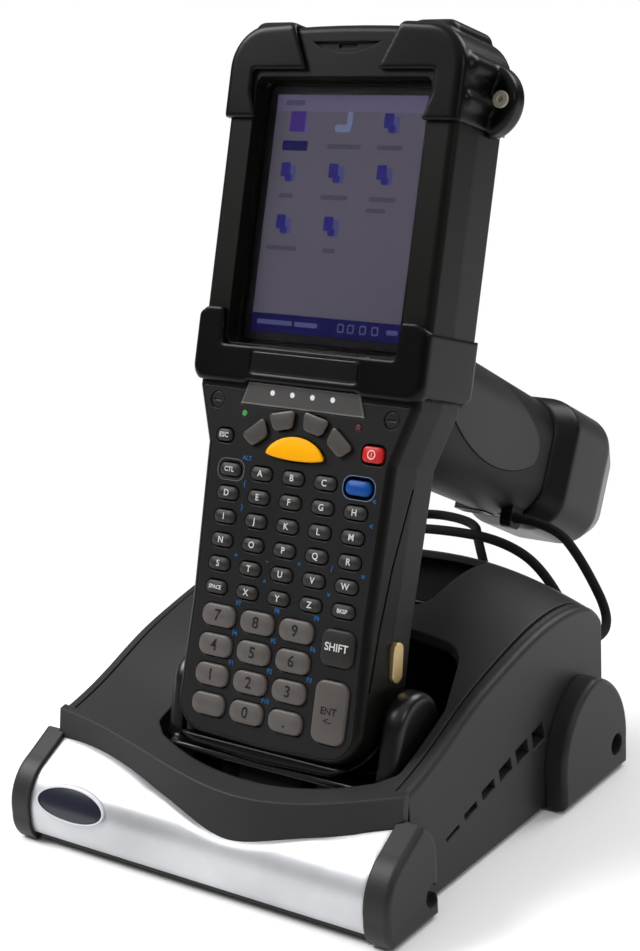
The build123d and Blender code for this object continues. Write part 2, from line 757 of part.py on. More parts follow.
def build_trigger():
    pin_y, pin_z = trigger_axis()
    half = trigger_width / 2
    curve = make_face([
        Polyline((pin_y - 3.5, pin_z + 1.0), (pin_y - 2.0, pin_z - 3.6), (pin_y + 14, pin_z - 10.5),
                 (pin_y + 30, pin_z - 9.5), (pin_y + 33, pin_z - 3.0)),
        ThreePointArc((pin_y + 33, pin_z - 3.0), (pin_y + 17, pin_z - 4.6), (pin_y + 3.5, pin_z + 3.6)),
        Line((pin_y + 3.5, pin_z + 3.6), (pin_y - 3.5, pin_z + 1.0))])
    blade = side_slab(curve, -half, half)
    boss = rod_x(pin_y, pin_z, trigger_boss, -half, half)
    trigger = blade + boss
    trigger -= rod_x(pin_y, pin_z, trigger_pin_radius + pin_fit, -half - 1, half + 1)
    spring_room = rod_x(pin_y, pin_z, trigger_boss + 1, half - 4.2, half + 1)
    trigger -= spring_room
    keep("trigger", trigger, DOCK)
    wall = half + 3.9
    keep("trigger_pin", rod_x(pin_y, pin_z, trigger_pin_radius, -wall, wall), DOCK)
    wire = 0.45
    turns = Helix(pitch=1.05, height=3.15, radius=trigger_pin_radius + wire + 0.35)
    start = turns @ 0
    profile = Plane(origin=start, z_dir=turns % 0) * Circle(wire)
    coil = sweep(profile, path=turns)
    coil = Pos(half - 3.6, pin_y, pin_z) * Rot(0, 90, 0) * coil
    keep("trigger_spring", coil, DOCK)


# ---------------------------------------------------------------- cradle body
def edge_height(y):
    """Height of the cradle's side ridge at a distance y."""
    stations = [(-90, 33.0), (-56, 40.8), (-40, 44.8), (-24, 50.6), (-3, 57.5), (18, 62.0),
                (41, 64.6), (58, 63.2), (68, 59.5), (cradle_back, 55.0)]
    for (y0, z0), (y1, z1) in zip(stations, stations[1:]):
        if y0 <= y <= y1:
            return z0 + (z1 - z0) * (y - y0) / (y1 - y0)
    return stations[-1][1]


def crown(y):
    """How far the middle of the top stands above the side ridges."""
    stations = [(-90, -4.0), (-67, -4.0), (-60, -4.8), (-52, -4.6), (-36, -3.2), (-15, 0.5), (-3, 3.5),
                (18, 8.5), (41, 12.0), (60, 12.5), (80, 12.0)]
    for (y0, c0), (y1, c1) in zip(stations, stations[1:]):
        if y0 <= y <= y1:
            return c0 + (c1 - c0) * (y - y0) / (y1 - y0)
    return stations[-1][1]


def top_section(y, drop, ridge):
    half = cradle_width / 2
    edge = edge_height(y) - drop
    rise = crown(y)
    inner = half - ridge
    bend = 0.29 * ridge
    points = []
    for step in range(9):
        x = -inner + 2 * inner * step / 8
        reach = half + dock_x if x < dock_x else half - dock_x
        share = (x - dock_x) / reach
        points.append((x, edge + rise * (1 - share * share)))
    low_left = points[0][1] - ridge
    low_right = points[-1][1] - ridge
    outline = [Spline(*points), Polyline((half, low_right), (half, 0), (-half, 0), (-half, low_left))]
    if ridge:
        outline += [
            ThreePointArc(points[-1], (half - bend, low_right + ridge - bend), (half, low_right)),
            ThreePointArc((-half, low_left), (bend - half, low_left + ridge - bend), points[0])]
    return Plane.XZ.offset(-y) * make_face(outline)


def cradle_mass(drop=0.0, ridge=0.0):
    """The cradle as one closed solid, with its crowned and sloping top."""
    stations = [-90, -70, -56, -40, -24, -3, 18, 41, 58, 68, cradle_back]
    return loft([top_section(y, drop, ridge) for y in stations])


def front_curve(ends, middle):
    """Plan of the front of the top cover: straight sides and a bulge at the terminal."""
    half = cradle_width / 2
    bulge = Spline((-half, ends), (-half + 34, ends - 0.26 * (ends - middle)),
                   (dock_x - 22, middle + 2.6), (dock_x, middle), (dock_x + 22, middle + 2.4),
                   (half, ends))
    sides = Polyline((half, ends), (half, 100), (-half, 100), (-half, ends))
    return make_face([bulge, sides])


def front_mass(inset=0.0):
    low = Plane.XY.offset(10) * Pos(0, inset) * front_curve(-60.0, -75.6)
    high = Plane.XY.offset(90) * Pos(0, inset) * front_curve(-46.0, -48.4)
    return loft([low, high])


def wave_block(lower=0.0):
    """Everything below the wavy lower edge of the dark fascia."""
    half = cradle_width / 2 + 10
    wave = Spline((-half, 31.8), (-cradle_width / 2, 31.5), (-24, 25.4), (dock_x, 20.2),
                  (dock_x + 32, 25.4), (cradle_width / 2, 31.5), (half, 31.8))
    outline = make_face([wave, Polyline((half, 31.8), (half, -5), (-half, -5), (-half, 31.8))])
    return front_slab(Pos(0, -lower) * outline, -100, -cradle_front)


def fascia_room():
    """What the fascia takes out of the front panel behind it."""
    return front_mass(-fit_gap) - front_mass(cover_wall + fit_gap) - wave_block(fit_gap)


def build_cradle_cover():
    inner_half = cradle_width / 2 - side_wall
    plan = block(-inner_half + cover_gap, inner_half - cover_gap, -cradle_front,
                 cradle_back - rear_wall - cover_gap, 0, 200)
    front = block(-200, 200, -100, -cradle_front, 0, 200)
    mass = cradle_mass() & front_mass()
    cover = (mass & (plan + front)) - cradle_mass(cover_wall)
    fascia = (mass & front) - front_mass(cover_wall)
    cover = cover + fascia - wave_block()
    cover = cover - front_cap() - mirrored(front_cap())
    cover -= DOCK * pocket_prism()
    cover -= spare_funnel()
    keep("cradle_cover", cover)


def pocket_prism():
    """Opening in the cover round the terminal, along the terminal's own axis."""
    half = body_width / 2 + well_gap + well_wall + horn_thick + 0.6
    front = half - 5.5
    rear = half - 9.0
    outline = make_face([
        Polyline((front, -3), (half, 1), (half, 24), (rear, pocket_back), (-rear, pocket_back),
                 (-half, 24), (-half, 1), (-front, -3)),
        ThreePointArc((-front, -3), (0, -pocket_bulge), (front, -3))])
    outline = fillet(outline.vertices().sort_by(Axis.Y)[-2:], 10)
    outline = fillet(outline.vertices().sort_by(Axis.Y)[:4], 3)
    return plan_slab(outline, -20, 80)


def spare_funnel():
    """Flared mouth over the spare battery well, behind the terminal."""
    low_width, low_length = spare_width + 1.0, spare_length + 1.0
    low = Plane.XY.offset(30) * Pos(spare_x, spare_y) * RectangleRounded(low_width, low_length, 5)
    high = Plane.XY.offset(86) * Pos(spare_x, spare_y) * RectangleRounded(
        low_width + 2 * spare_flare, low_length + 2 * spare_flare, 10)
    return loft([low, high])


def build_cradle_base():
    half = cradle_width / 2
    walls = cradle_mass(ridge=ridge_round) & block(-half, half, -cradle_front, cradle_back, foot_height, 200)
    inner = block(-half + side_wall, half - side_wall, -cradle_front - 1, cradle_back - rear_wall,
                  foot_height + floor_wall, 200)
    base = walls - inner
    base += block(-half + 3, half - 3, -72.5, -cradle_front + 1, foot_height, foot_height + floor_wall)
    base -= vent_slots()
    base -= rear_socket_cuts()
    bosses = [rod_z(x, y, 3.2, foot_height, 26) for x in (-52, 58) for y in (-30, 58)]
    base = base + bosses
    keep("cradle_base", base)


def vent_slots():
    """Six slots in a rising row, taller towards the back, in both side walls."""
    slots = []
    for number in range(6):
        y = -32.3 + 11.1 * number
        z = 15.2 + 9.4 * math.sin(math.radians(15 * number + 2))
        tall = 1.6 + 1.05 * number
        face = Pos(y + 4.2, z + tall / 2 + 1.0) * Rot(0, 0, 12) * Rectangle(8.0, tall)
        slots.append(side_slab(face, -cradle_width, cradle_width))
    return slots


def rear_socket_cuts():
    return [rod_y(-30, 14, 4.6, 60, 90), block(-8, 10, 60, 90, 9, 19)]


def build_rear_sockets():
    back = cradle_back - 1.0
    power = rod_y(-30, 14, 4.3, back - 12, back) - rod_y(-30, 14, 2.9, back - 3.4, back + 1)
    power += rod_y(-30, 14, 1.0, back - 3.5, back - 0.5)
    serial = block(-7.7, 9.7, back - 12, back, 9.3, 18.7)
    serial -= block(-6.3, 8.3, back - 3.4, back + 1, 10.6, 17.4)
    keep("rear_sockets", group([power, serial]))


def panel_outline(inset=0.0):
    """Side view of the bright front panel: a slope running into a deep curve."""
    outline = make_face([
        Line((-54.6, 32.2), (-65.0, 26.6)),
        ThreePointArc((-65.0, 26.6), (-73.0, 19.4), (-75.2, 9.5)),
        ThreePointArc((-75.2, 9.5), (-74.8, 5.6), (-73.4, 2.4)),
        Polyline((-73.4, 2.4), (-50.0, 2.4), (-50.0, 32.2), (-54.6, 32.2))])
    return offset(outline, amount=-inset) if inset else outline


def build_front_panel():
    half = panel_width / 2
    panel = side_slab(panel_outline(), -half, half)
    panel -= side_slab(panel_outline(panel_wall), -half - 1, half + 1)
    panel &= block(-half, half, -90, -cradle_front - 1.5, foot_height + floor_wall, 60)
    panel -= fascia_room()
    keep("front_panel", panel)
    badge_x = -half + 18.0
    face = Pos(badge_x, 17.6) * Ellipse(14.2, 4.9)
    rim = Pos(badge_x, 17.6) * Ellipse(15.0, 5.7)
    skin = side_slab(offset(panel_outline(), amount=0.9), -half, half)
    skin -= side_slab(offset(panel_outline(), amount=0.05), -half - 1, half + 1)
    lower = side_slab(offset(panel_outline(), amount=0.6), -half - 1, half + 1)
    badge = (skin & front_slab(rim, -90, -52)) - (front_slab(face, -90, -52) - lower)
    keep("front_badge", badge)


def front_cap():
    """D-shaped cap that closes the right end of the front panel."""
    outline = make_face([
        Line((-55.0, 33.6), (-65.6, 27.6)),
        ThreePointArc((-65.6, 27.6), (-74.0, 20.0), (-76.2, 9.5)),
        ThreePointArc((-76.2, 9.5), (-75.8, 4.8), (-73.4, 0.6)),
        Line((-73.4, 0.6), (-47.6, 0.6)),
        Line((-47.6, 0.6), (-47.6, 20.0)),
        ThreePointArc((-47.6, 20.0), (-49.6, 28.6), (-55.0, 33.6))])
    left = panel_width / 2 + fit_gap
    cap = side_slab(outline, left, panel_width / 2 + cap_width)
    cap = fillet(cap.faces().sort_by(Axis.X)[-1].edges(), 2.0)
    cap -= rod_x(-51.4, 8.7, cap_hole / 2, panel_width / 2 + cap_width - 3.8, 100)
    body = cradle_mass() & block(0, cradle_width / 2, -cradle_front, 0, foot_height, 200)
    return cap - body


def rear_cap():
    """Arched housing on the right rear of the cradle, with a round socket hole."""
    half = 23.2
    outline = make_face([
        Polyline((54 + half, 0.8), (54 - half, 0.8), (54 - half, 10)),
        ThreePointArc((54 - half, 10), (54 - 0.62 * half, 33.6), (54, 40.6)),
        ThreePointArc((54, 40.6), (54 + 0.62 * half, 33.6), (54 + half, 10)),
        Line((54 + half, 10), (54 + half, 0.8))])
    start = cradle_width / 2 + fit_gap
    cap = side_slab(outline, start, cradle_width / 2 + rear_cap_width)
    cap = fillet(cap.faces().sort_by(Axis.X)[-1].edges(), 2.0)
    cap -= rod_x(68.4, 11.0, cap_hole / 2, start + rear_cap_width - 4, 100)
    return cap


def build_end_caps():
    front = front_cap()
    rear = rear_cap()
    keep("end_caps", group([front, mirrored(front), rear, mirrored(rear)]))
    feet = [rod_z(0, 0, foot_pad_radius, 0, foot_height)]
    for half, inset, y in ((panel_width / 2, foot_pad_inset, -foot_pad_reach),
                           (cradle_width / 2, rear_pad_inset, foot_pad_reach)):
        for x in (inset - half, half - inset):
            feet.append(rod_z(x, y, foot_pad_radius, 0, foot_height))
    keep("cradle_feet", group(feet))


# ---------------------------------------------------------------- inside the cradle
def build_pocket_well():
    half = body_width / 2 + 1.0 + well_gap
    front = 1.5 - face_front
    back = body_depth + 0.8 + well_gap
    outer = block(-half - well_wall, half + well_wall, front, back + well_wall,
                  -well_wall, well_side_height)
    outer = fillet(outer.edges().filter_by(Axis.Z).group_by(Axis.Y)[0], 6.0)
    well = outer - block(-half, half, front - 1, back, 0, 100)
    well -= block(-100, 100, front - 9, 4.0, 0, 100)
    horn = block(half, half + horn_thick, 2.0, 2.0 + horn_length, -well_wall, horn_height)
    horn = fillet(horn.edges().filter_by(Axis.X).group_by(Axis.Z)[-1], horn_length / 2 - 0.4)
    horn = fillet(horn.faces().sort_by(Axis.X)[-1].edges(), horn_round)
    well = well + horn + mirrored(horn)
    well -= block(-14, 14, 0.4, 10.6, -10, 1)
    for x in (-30, 30):
        well += block(x - 3, x + 3, 2, 12, -well_leg, -well_wall + 0.2)
    keep("pocket_well", well, DOCK)
    contact = block(-12.5, 12.5, 1.4, 9.6, -9.0, -0.3)
    pins = [rod_z(x, 5.5, 0.7, -0.4, 0.9) for x in range(-10, 11, 2)]
    keep("contact_block", contact + pins, DOCK)


def build_spare_well():
    x, y, top = spare_x, spare_y, spare_top
    low = top - spare_depth
    outer = block(x - spare_width / 2 - spare_wall, x + spare_width / 2 + spare_wall,
                  y - spare_length / 2 - spare_wall, y + spare_length / 2 + spare_wall, low - spare_wall, top)
    well = outer - block(x - spare_width / 2, x + spare_width / 2, y - spare_length / 2,
                         y + spare_length / 2, low, top + 1)
    well += block(x - 10, x + 10, y - 4, y + 4, low - 0.1, low + 3)
    legs = [block(x + dx - 3, x + dx + 3, y - 5, y + 5, board_top(), low - spare_wall + 0.1)
            for dx in (-18, 18)]
    keep("spare_well", well + legs)


def board_top():
    return foot_height + floor_wall + 3.0 + board_thick


def build_cradle_board():
    low = foot_height + floor_wall + 3.0
    board = block(-44, 50, -30, 66, low, low + board_thick)
    for x, y, width, length, height in ((-30, 0, 16, 16, 2.0), (-34, 30, 10, 14, 6.0)):
        board += block(x - width / 2, x + width / 2, y - length / 2, y + length / 2,
                       low + board_thick - 0.1, low + board_thick + height)
    for x in (-38, 44):
        for y in (-24, 60):
            board += rod_z(x, y, 2.5, foot_height + floor_wall, low + 0.1)
    keep("cradle_board", board)


# ---------------------------------------------------------------- lanyard
def build_lanyard():
    runs = [math.dist(a, b) for a, b in zip(LANYARD_ROUTE, LANYARD_ROUTE[1:])]
    vectors = [Vector(*b) - Vector(*a) for a, b in zip(LANYARD_ROUTE, LANYARD_ROUTE[1:])]
    radii = []
    for before, after, run_a, run_b in zip(vectors, vectors[1:], runs, runs[1:]):
        turn = before.get_angle(after)
        radii.append(0.45 * min(run_a, run_b) / math.tan(math.radians(turn) / 2))
    print("lanyard radii", [round(r, 1) for r in radii], "length", round(sum(runs)))
    path = FilletPolyline(*LANYARD_ROUTE, radius=radii)
    section = Plane(origin=path @ 0, z_dir=path % 0) * Circle(lanyard_diameter / 2)
    tube = sweep(section, path=path)
    print("tube", round(tube.volume), "expected", round(math.pi * lanyard_diameter ** 2 / 4 * path.length))
    keep("lanyard", tube)


for step in (build_front_housing, build_rear_housing, build_display, build_lower_bumper,
             build_foot_shoe, build_keys, build_lens, build_mat_and_board, build_scan_engine,
             build_grip, build_battery, build_trigger, build_cradle_cover, build_cradle_base,
             build_rear_sockets, build_front_panel, build_end_caps, build_pocket_well,
             build_spare_well, build_cradle_board, build_lanyard):
    step()
build_screws(build_upper_bumpers())
for name, shape in nodes.items():
    export_step(shape, "parts/" + name + ".step")
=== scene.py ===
import bpy
import math
from mathutils import Matrix, Vector


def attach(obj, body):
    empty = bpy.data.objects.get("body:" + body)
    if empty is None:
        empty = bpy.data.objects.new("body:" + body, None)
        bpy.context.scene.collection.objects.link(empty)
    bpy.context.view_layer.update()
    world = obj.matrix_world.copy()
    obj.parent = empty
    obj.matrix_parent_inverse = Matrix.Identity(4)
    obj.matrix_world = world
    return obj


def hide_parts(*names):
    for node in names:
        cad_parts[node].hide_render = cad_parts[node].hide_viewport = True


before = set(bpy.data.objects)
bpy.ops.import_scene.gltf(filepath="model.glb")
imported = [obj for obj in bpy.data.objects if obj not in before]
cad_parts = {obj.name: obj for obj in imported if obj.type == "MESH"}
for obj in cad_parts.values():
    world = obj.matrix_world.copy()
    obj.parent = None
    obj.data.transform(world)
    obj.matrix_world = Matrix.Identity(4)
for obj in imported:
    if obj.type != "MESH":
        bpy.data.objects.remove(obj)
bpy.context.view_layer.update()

# ---------------------------------------------------------------- studio
# A pale table under a soft sky, bright overhead and dim at the horizon. A large soft lamp
# stands high on the left, with weaker ones behind and on the right, so that the dark
# mouldings stay dark and keep soft highlights.
table_size = 8.0
table_drop = 0.0004
shaded_reach, white_reach = 0.10, 0.26
horizon_height, overhead_height = 0.25, 0.95
horizon_light, overhead_light = 0.08, 0.95
pure_white = (1, 1, 1, 1)
lamps = [
    ("left_softbox", (-1.0, -0.6, 1.25), 0.7, 27.0),
    ("rear_softbox", (0.5, 1.2, 1.1), 0.8, 12.0),
    ("right_softbox", (1.4, -0.1, 0.8), 0.4, 3.2)]
lamp_target = Vector((0, 0, 0.1))
camera_place = (0.35816, -0.47997, 0.29149)
camera_turn = (73.815, 3.012, 35.449)
camera_lens = 71.155
camera_sensor = 36.0


def opened(material):
    """The nodes, the links and the shader of a material."""
    tree = material.node_tree
    return tree.nodes, tree.links, tree.nodes["Principled BSDF"]


def new_material(name, shine):
    """An empty material with its specular level, and its nodes, links and shader."""
    material = bpy.data.materials.new(name)
    material.use_nodes = True
    nodes, links, shader = opened(material)
    shader.inputs["Specular IOR Level"].default_value = shine
    return material, nodes, links, shader


def add_node(nodes, kind, **values):
    """Add a shader node and set its sockets, whose names are given with _ for a space."""
    added = nodes.new("ShaderNode" + kind)
    for socket, value in values.items():
        added.inputs[socket.replace("_", " ")].default_value = value
    return added


def show_white(nodes, links, share, lit, white, output):
    """End a tree in a mix of what is lit and plain white, by a share."""
    blend = add_node(nodes, "MixShader")
    links.new(share, blend.inputs["Fac"])
    links.new(lit.outputs[0], blend.inputs[1])
    links.new(white.outputs[0], blend.inputs[2])
    links.new(blend.outputs[0], nodes[output].inputs["Surface"])


bpy.ops.object.select_all(action="DESELECT")
bpy.ops.mesh.primitive_plane_add(size=table_size, location=(0, 0, -table_drop))
table_top = bpy.context.object
table_top.name = "table_top"
table_paint, nodes, links, shader = new_material("pale_table_paint", shine=0.1)
shader.inputs["Base Color"].default_value = (0.95, 0.95, 0.955, 1)
shader.inputs["Roughness"].default_value = 0.6
place = add_node(nodes, "TexCoord")
distance = add_node(nodes, "VectorMath")
distance.operation = "LENGTH"
links.new(place.outputs["Object"], distance.inputs[0])
fade = add_node(nodes, "MapRange", From_Min=shaded_reach, From_Max=white_reach)
fade.interpolation_type = "SMOOTHSTEP"
links.new(distance.outputs["Value"], fade.inputs["Value"])
ray = add_node(nodes, "LightPath")
seen = add_node(nodes, "Math")
seen.operation = "MULTIPLY"
links.new(ray.outputs["Is Camera Ray"], seen.inputs[0])
links.new(fade.outputs[0], seen.inputs[1])
table_white = add_node(nodes, "Emission", Color=pure_white)
show_white(nodes, links, seen.outputs[0], shader, table_white, "Material Output")
table_top.data.materials.append(table_paint)

sky = bpy.data.worlds.new("white_studio")
sky.use_nodes = True
bpy.context.scene.world = sky
nodes, links = sky.node_tree.nodes, sky.node_tree.links
sky_light = nodes["Background"]
sky_light.inputs["Color"].default_value = pure_white
sky_place = add_node(nodes, "TexCoord")
sky_axes = add_node(nodes, "SeparateXYZ")
links.new(sky_place.outputs["Generated"], sky_axes.inputs[0])
sky_height = add_node(nodes, "MapRange", From_Min=horizon_height, From_Max=overhead_height,
                      To_Min=horizon_light, To_Max=overhead_light)
sky_height.interpolation_type = "SMOOTHSTEP"
links.new(sky_axes.outputs["Z"], sky_height.inputs["Value"])
links.new(sky_height.outputs[0], sky_light.inputs["Strength"])
ray = add_node(nodes, "LightPath")
sky_white = add_node(nodes, "Background", Color=pure_white)
show_white(nodes, links, ray.outputs["Is Camera Ray"], sky_light, sky_white, "World Output")

for lamp_name, lamp_place, lamp_size, lamp_power in lamps:
    bpy.ops.object.light_add(type="AREA", location=lamp_place)
    lamp = bpy.context.object
    lamp.name = lamp_name
    lamp.data.size = lamp_size
    lamp.data.energy = lamp_power
    aim = lamp_target - Vector(lamp_place)
    lamp.rotation_euler = aim.to_track_quat("-Z", "Y").to_euler()

bpy.ops.object.camera_add(location=camera_place,
                          rotation=[math.radians(turn) for turn in camera_turn])
camera = bpy.context.object
camera.data.lens = camera_lens
camera.data.sensor_width = camera_sensor
bpy.context.scene.camera = camera
bpy.context.scene.view_settings.view_transform = "Standard"

# ---------------------------------------------------------------- wrist lanyard
# A braided polyester cord, 3.6 mm thick, tied through the eye under the grip. It hangs
# past the rear corner of the cradle, comes back behind it and ends in a short tail.
cord_diameter = 0.0036
braid_turn = 0.55
lanyard_route = [
    (0.0230, 0.0931, 0.0801), (0.0405, 0.0933, 0.0801), (0.0480, 0.1010, 0.0650),
    (0.0590, 0.1045, 0.0400), (0.0605, 0.0778, 0.0415), (0.0450, 0.0785, 0.0680),
    (0.0270, 0.0790, 0.0762), (0.0020, 0.0790, 0.0766), (-0.0240, 0.0785, 0.0740),
    (-0.0235, 0.1040, 0.0730), (0.0015, 0.1035, 0.0725), (0.0100, 0.0905, 0.0700),
    (0.0165, 0.0865, 0.0565)]
cord_line = bpy.data.curves.new("lanyard_cord", "CURVE")
cord_line.dimensions = "3D"
cord_spline = cord_line.splines.new("NURBS")
cord_spline.points.add(len(lanyard_route) - 1)
for control, point in zip(cord_spline.points, lanyard_route):
    control.co = (*point, 1)
cord_spline.order_u = 3
cord_spline.use_endpoint_u = True
cord_spline.resolution_u = 14
cord_line.bevel_depth = cord_diameter / 2
cord_line.bevel_resolution = 5
cord_line.use_fill_caps = True
lanyard_cord = bpy.data.objects.new("lanyard_cord", cord_line)
bpy.context.scene.collection.objects.link(lanyard_cord)


def add_ramp(nodes, dark, light, start=0.0, end=1.0):
    """Add a colour ramp from a dark to a light shade."""
    ramp = add_node(nodes, "ValToRGB")
    for stop, position, shade in zip(ramp.color_ramp.elements, (start, end), (dark, light)):
        stop.position = position
        stop.color = (*shade, 1)
    return ramp


braid, nodes, links, shader = new_material("black_braid", shine=0.2)
shader.inputs["Roughness"].default_value = 0.85
place = add_node(nodes, "TexCoord")
plait = add_node(nodes, "Math")
plait.operation = "MULTIPLY"
for number, turn in enumerate((braid_turn, -braid_turn)):
    lay = add_node(nodes, "Mapping", Scale=(160, 4, 1), Rotation=(0, 0, turn))
    links.new(place.outputs["UV"], lay.inputs["Vector"])
    strand = add_node(nodes, "TexWave", Scale=1.3)
    links.new(lay.outputs[0], strand.inputs["Vector"])
    links.new(strand.outputs["Fac"], plait.inputs[number])
tint = add_ramp(nodes, (0.004, 0.004, 0.004), (0.018, 0.018, 0.019))
links.new(plait.outputs[0], tint.inputs["Fac"])
links.new(tint.outputs["Color"], shader.inputs["Base Color"])
bump = add_node(nodes, "Bump", Strength=0.6, Distance=0.0003)
links.new(plait.outputs[0], bump.inputs["Height"])
links.new(bump.outputs[0], shader.inputs["Normal"])
cord_line.materials.append(braid)
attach(lanyard_cord, "terminal")
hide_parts("lanyard")


# ---------------------------------------------------------------- cradle shell
# Base tub, top cover and the D-shaped end caps, injection moulded in dark grey ABS with a
# fine spark-eroded grain. The cover drops into the tub and leaves a dark groove round it.
def lay_over(nodes, links, shader, share, colour):
    """Lay a second colour over a finish's base colour, by a share that another node gives."""
    over = nodes.new("ShaderNodeMix")
    over.data_type = "RGBA"
    over.inputs["B"].default_value = (*colour, 1)
    links.new(share, over.inputs["Factor"])
    links.new(shader.inputs["Base Color"].links[0].from_socket, over.inputs["A"])
    links.new(over.outputs["Result"], shader.inputs["Base Color"])


def moulded(name, colour, rough=0.5, grain=0.0005, relief=0.00004, wear_and_sheen=0.3, shine=0.25,
            edge=0.0006, wear_and_sheen_colour=None, metal=0.0):
    """Moulded plastic or rubber: fine grain, faint clouding, softened edges, and edges
    lightened by a share, which is rubbed wear and, on the smoke lens, a painted reflection.
    """
    material, nodes, links, shader = new_material(name, shine)
    shader.inputs["Metallic"].default_value = metal
    place = add_node(nodes, "TexCoord")
    cloud = add_node(nodes, "TexNoise", Scale=24.0, Detail=5.0)
    links.new(place.outputs["Object"], cloud.inputs["Vector"])
    tint = add_ramp(nodes, [c * 0.85 for c in colour], [c * 1.15 for c in colour], 0.3, 0.7)
    links.new(cloud.outputs["Fac"], tint.inputs["Fac"])
    links.new(tint.outputs["Color"], shader.inputs["Base Color"])
    soft_edge = add_node(nodes, "Bevel", Radius=edge)
    soft_edge.samples = 4
    flat = add_node(nodes, "NewGeometry")
    same = add_node(nodes, "VectorMath")
    same.operation = "DOT_PRODUCT"
    links.new(soft_edge.outputs[0], same.inputs[0])
    links.new(flat.outputs["Normal"], same.inputs[1])
    # Edges are painted lighter: rubbed wear on most pieces, and a painted reflection where the
    # share is full.
    wear_and_sheen_share = add_node(nodes, "MapRange", From_Min=0.995, From_Max=0.85, To_Max=wear_and_sheen)
    links.new(same.outputs["Value"], wear_and_sheen_share.inputs["Value"])
    wear_and_sheen_colour = wear_and_sheen_colour or [min(c * 1.5 + 0.008, 1) for c in colour]
    lay_over(nodes, links, shader, wear_and_sheen_share.outputs[0], wear_and_sheen_colour)
    gloss = add_node(nodes, "MapRange", To_Min=rough - 0.06, To_Max=rough + 0.08)
    links.new(cloud.outputs["Fac"], gloss.inputs["Value"])
    links.new(gloss.outputs[0], shader.inputs["Roughness"])
    spark = add_node(nodes, "TexNoise", Scale=1.0 / grain, Detail=2.0)
    links.new(place.outputs["Object"], spark.inputs["Vector"])
    bump = add_node(nodes, "Bump", Strength=0.5, Distance=relief)
    links.new(spark.outputs["Fac"], bump.inputs["Height"])
    links.new(soft_edge.outputs[0], bump.inputs["Normal"])
    links.new(bump.outputs[0], shader.inputs["Normal"])
    return material


def dress(material, *names):
    """Give CAD pieces their finish."""
    for name in names:
        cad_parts[name].data.materials.clear()
        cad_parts[name].data.materials.append(material)


cradle_abs = moulded("cradle_dark_grey_abs", (0.0190, 0.0195, 0.0190), rough=0.42, shine=0.22,
                     edge=0.0009)
dress(cradle_abs, "cradle_base", "cradle_cover", "end_caps")

# ---------------------------------------------------------------- front panel and badge
# The bright front is a thin moulding in satin silver lacquer. A blank oval badge with a
# bright rim is stuck to its left end; the badge carries no marking.
badge_middle = Vector((-0.050, -0.073, 0.0176))
badge_half_width, badge_half_height = 0.0142, 0.0049
badge_any_depth = 1000  # so large that only the distance across the face counts
rim_bright = (0.6, 0.6, 0.62)
silver_lacquer = moulded("satin_silver_lacquer", (0.55, 0.56, 0.58), rough=0.34, grain=0.00016,
                         relief=0.000006, wear_and_sheen=0.0, shine=0.5, edge=0.0030, metal=0.55)
dress(silver_lacquer, "front_panel")


def beyond(nodes, links, value, limit):
    """A socket that is 1 where a value is past a limit and 0 elsewhere."""
    test = add_node(nodes, "Math")
    test.operation = "GREATER_THAN"
    test.inputs[1].default_value = limit
    links.new(value, test.inputs[0])
    return test.outputs[0]


badge_gloss = moulded("blank_badge_gloss", (0.012, 0.014, 0.024), rough=0.22, relief=0.000003,
                      wear_and_sheen=0.0, shine=0.5)
nodes, links, shader = opened(badge_gloss)
place = add_node(nodes, "TexCoord")
centred = add_node(nodes, "Mapping", Location=badge_middle,
                   Scale=(badge_half_width, badge_any_depth, badge_half_height))
centred.vector_type = "TEXTURE"
links.new(place.outputs["Object"], centred.inputs["Vector"])
reach = add_node(nodes, "VectorMath")
reach.operation = "LENGTH"
links.new(centred.outputs[0], reach.inputs[0])
on_rim = beyond(nodes, links, reach.outputs["Value"], 1.0)
lay_over(nodes, links, shader, on_rim, rim_bright)
dress(badge_gloss, "front_badge")


# ---------------------------------------------------------------- rubber and soft mouldings
# The overmoulded rubber bumpers, the shoe at the foot and the cradle's pocket have full
# soft edges, which are formed from a fine skin over each solid. The cradle's feet are of
# the same rubber, and the spare battery's well is of the pocket's plastic.
def fix_on(piece, material, body):
    """Give a piece its finish and fix it to the body that carries it."""
    piece.data.materials.clear()
    piece.data.materials.append(material)
    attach(piece, body)


def soft_skin(node, body, material, grid, passes):
    """Wrap a rigid piece in a smoothed skin, as a soft moulding leaves its mould."""
    skin = bpy.data.objects.new(node + "_skin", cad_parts[node].data.copy())
    bpy.context.scene.collection.objects.link(skin)
    bpy.ops.object.select_all(action="DESELECT")
    skin.select_set(True)
    bpy.context.view_layer.objects.active = skin
    bpy.ops.object.mode_set(mode="EDIT")
    bpy.ops.mesh.select_all(action="SELECT")
    bpy.ops.mesh.remove_doubles(threshold=0.00001)
    bpy.ops.object.mode_set(mode="OBJECT")
    wrap = skin.modifiers.new("wrap", "REMESH")
    wrap.mode = "VOXEL"
    wrap.voxel_size = grid
    wrap.use_smooth_shade = True
    ease = skin.modifiers.new("ease", "SMOOTH")
    ease.factor = 0.5
    ease.iterations = passes
    for modifier in ("wrap", "ease"):
        bpy.ops.object.modifier_apply(modifier=modifier)
    fix_on(skin, material, body)
    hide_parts(node)


bumper_rubber = moulded("black_bumper_rubber", (0.0020, 0.0019, 0.0024), rough=0.28,
                        grain=0.0004, relief=0.000012, wear_and_sheen=0.0, shine=0.13)
for bumper in ("bumper_upper_left", "bumper_upper_right", "bumper_lower"):
    soft_skin(bumper, "terminal", bumper_rubber, grid=0.00045, passes=16)
soft_skin("bottom_shoe", "terminal", bumper_rubber, grid=0.0005, passes=6)
# The pocket's plastic is near black; that dark colour also paints the shade that fills the
# pocket, and the spare well takes the same.
pocket_black_and_painted_shade = moulded("black_well_plastic_and_painted_shade", (0.003, 0.003, 0.003), rough=0.28,
                       relief=0.00001, wear_and_sheen=0.0, shine=0.35)
soft_skin("pocket_well", "cradle", pocket_black_and_painted_shade, grid=0.0006, passes=8)
dress(bumper_rubber, "cradle_feet")
dress(pocket_black_and_painted_shade, "spare_well")

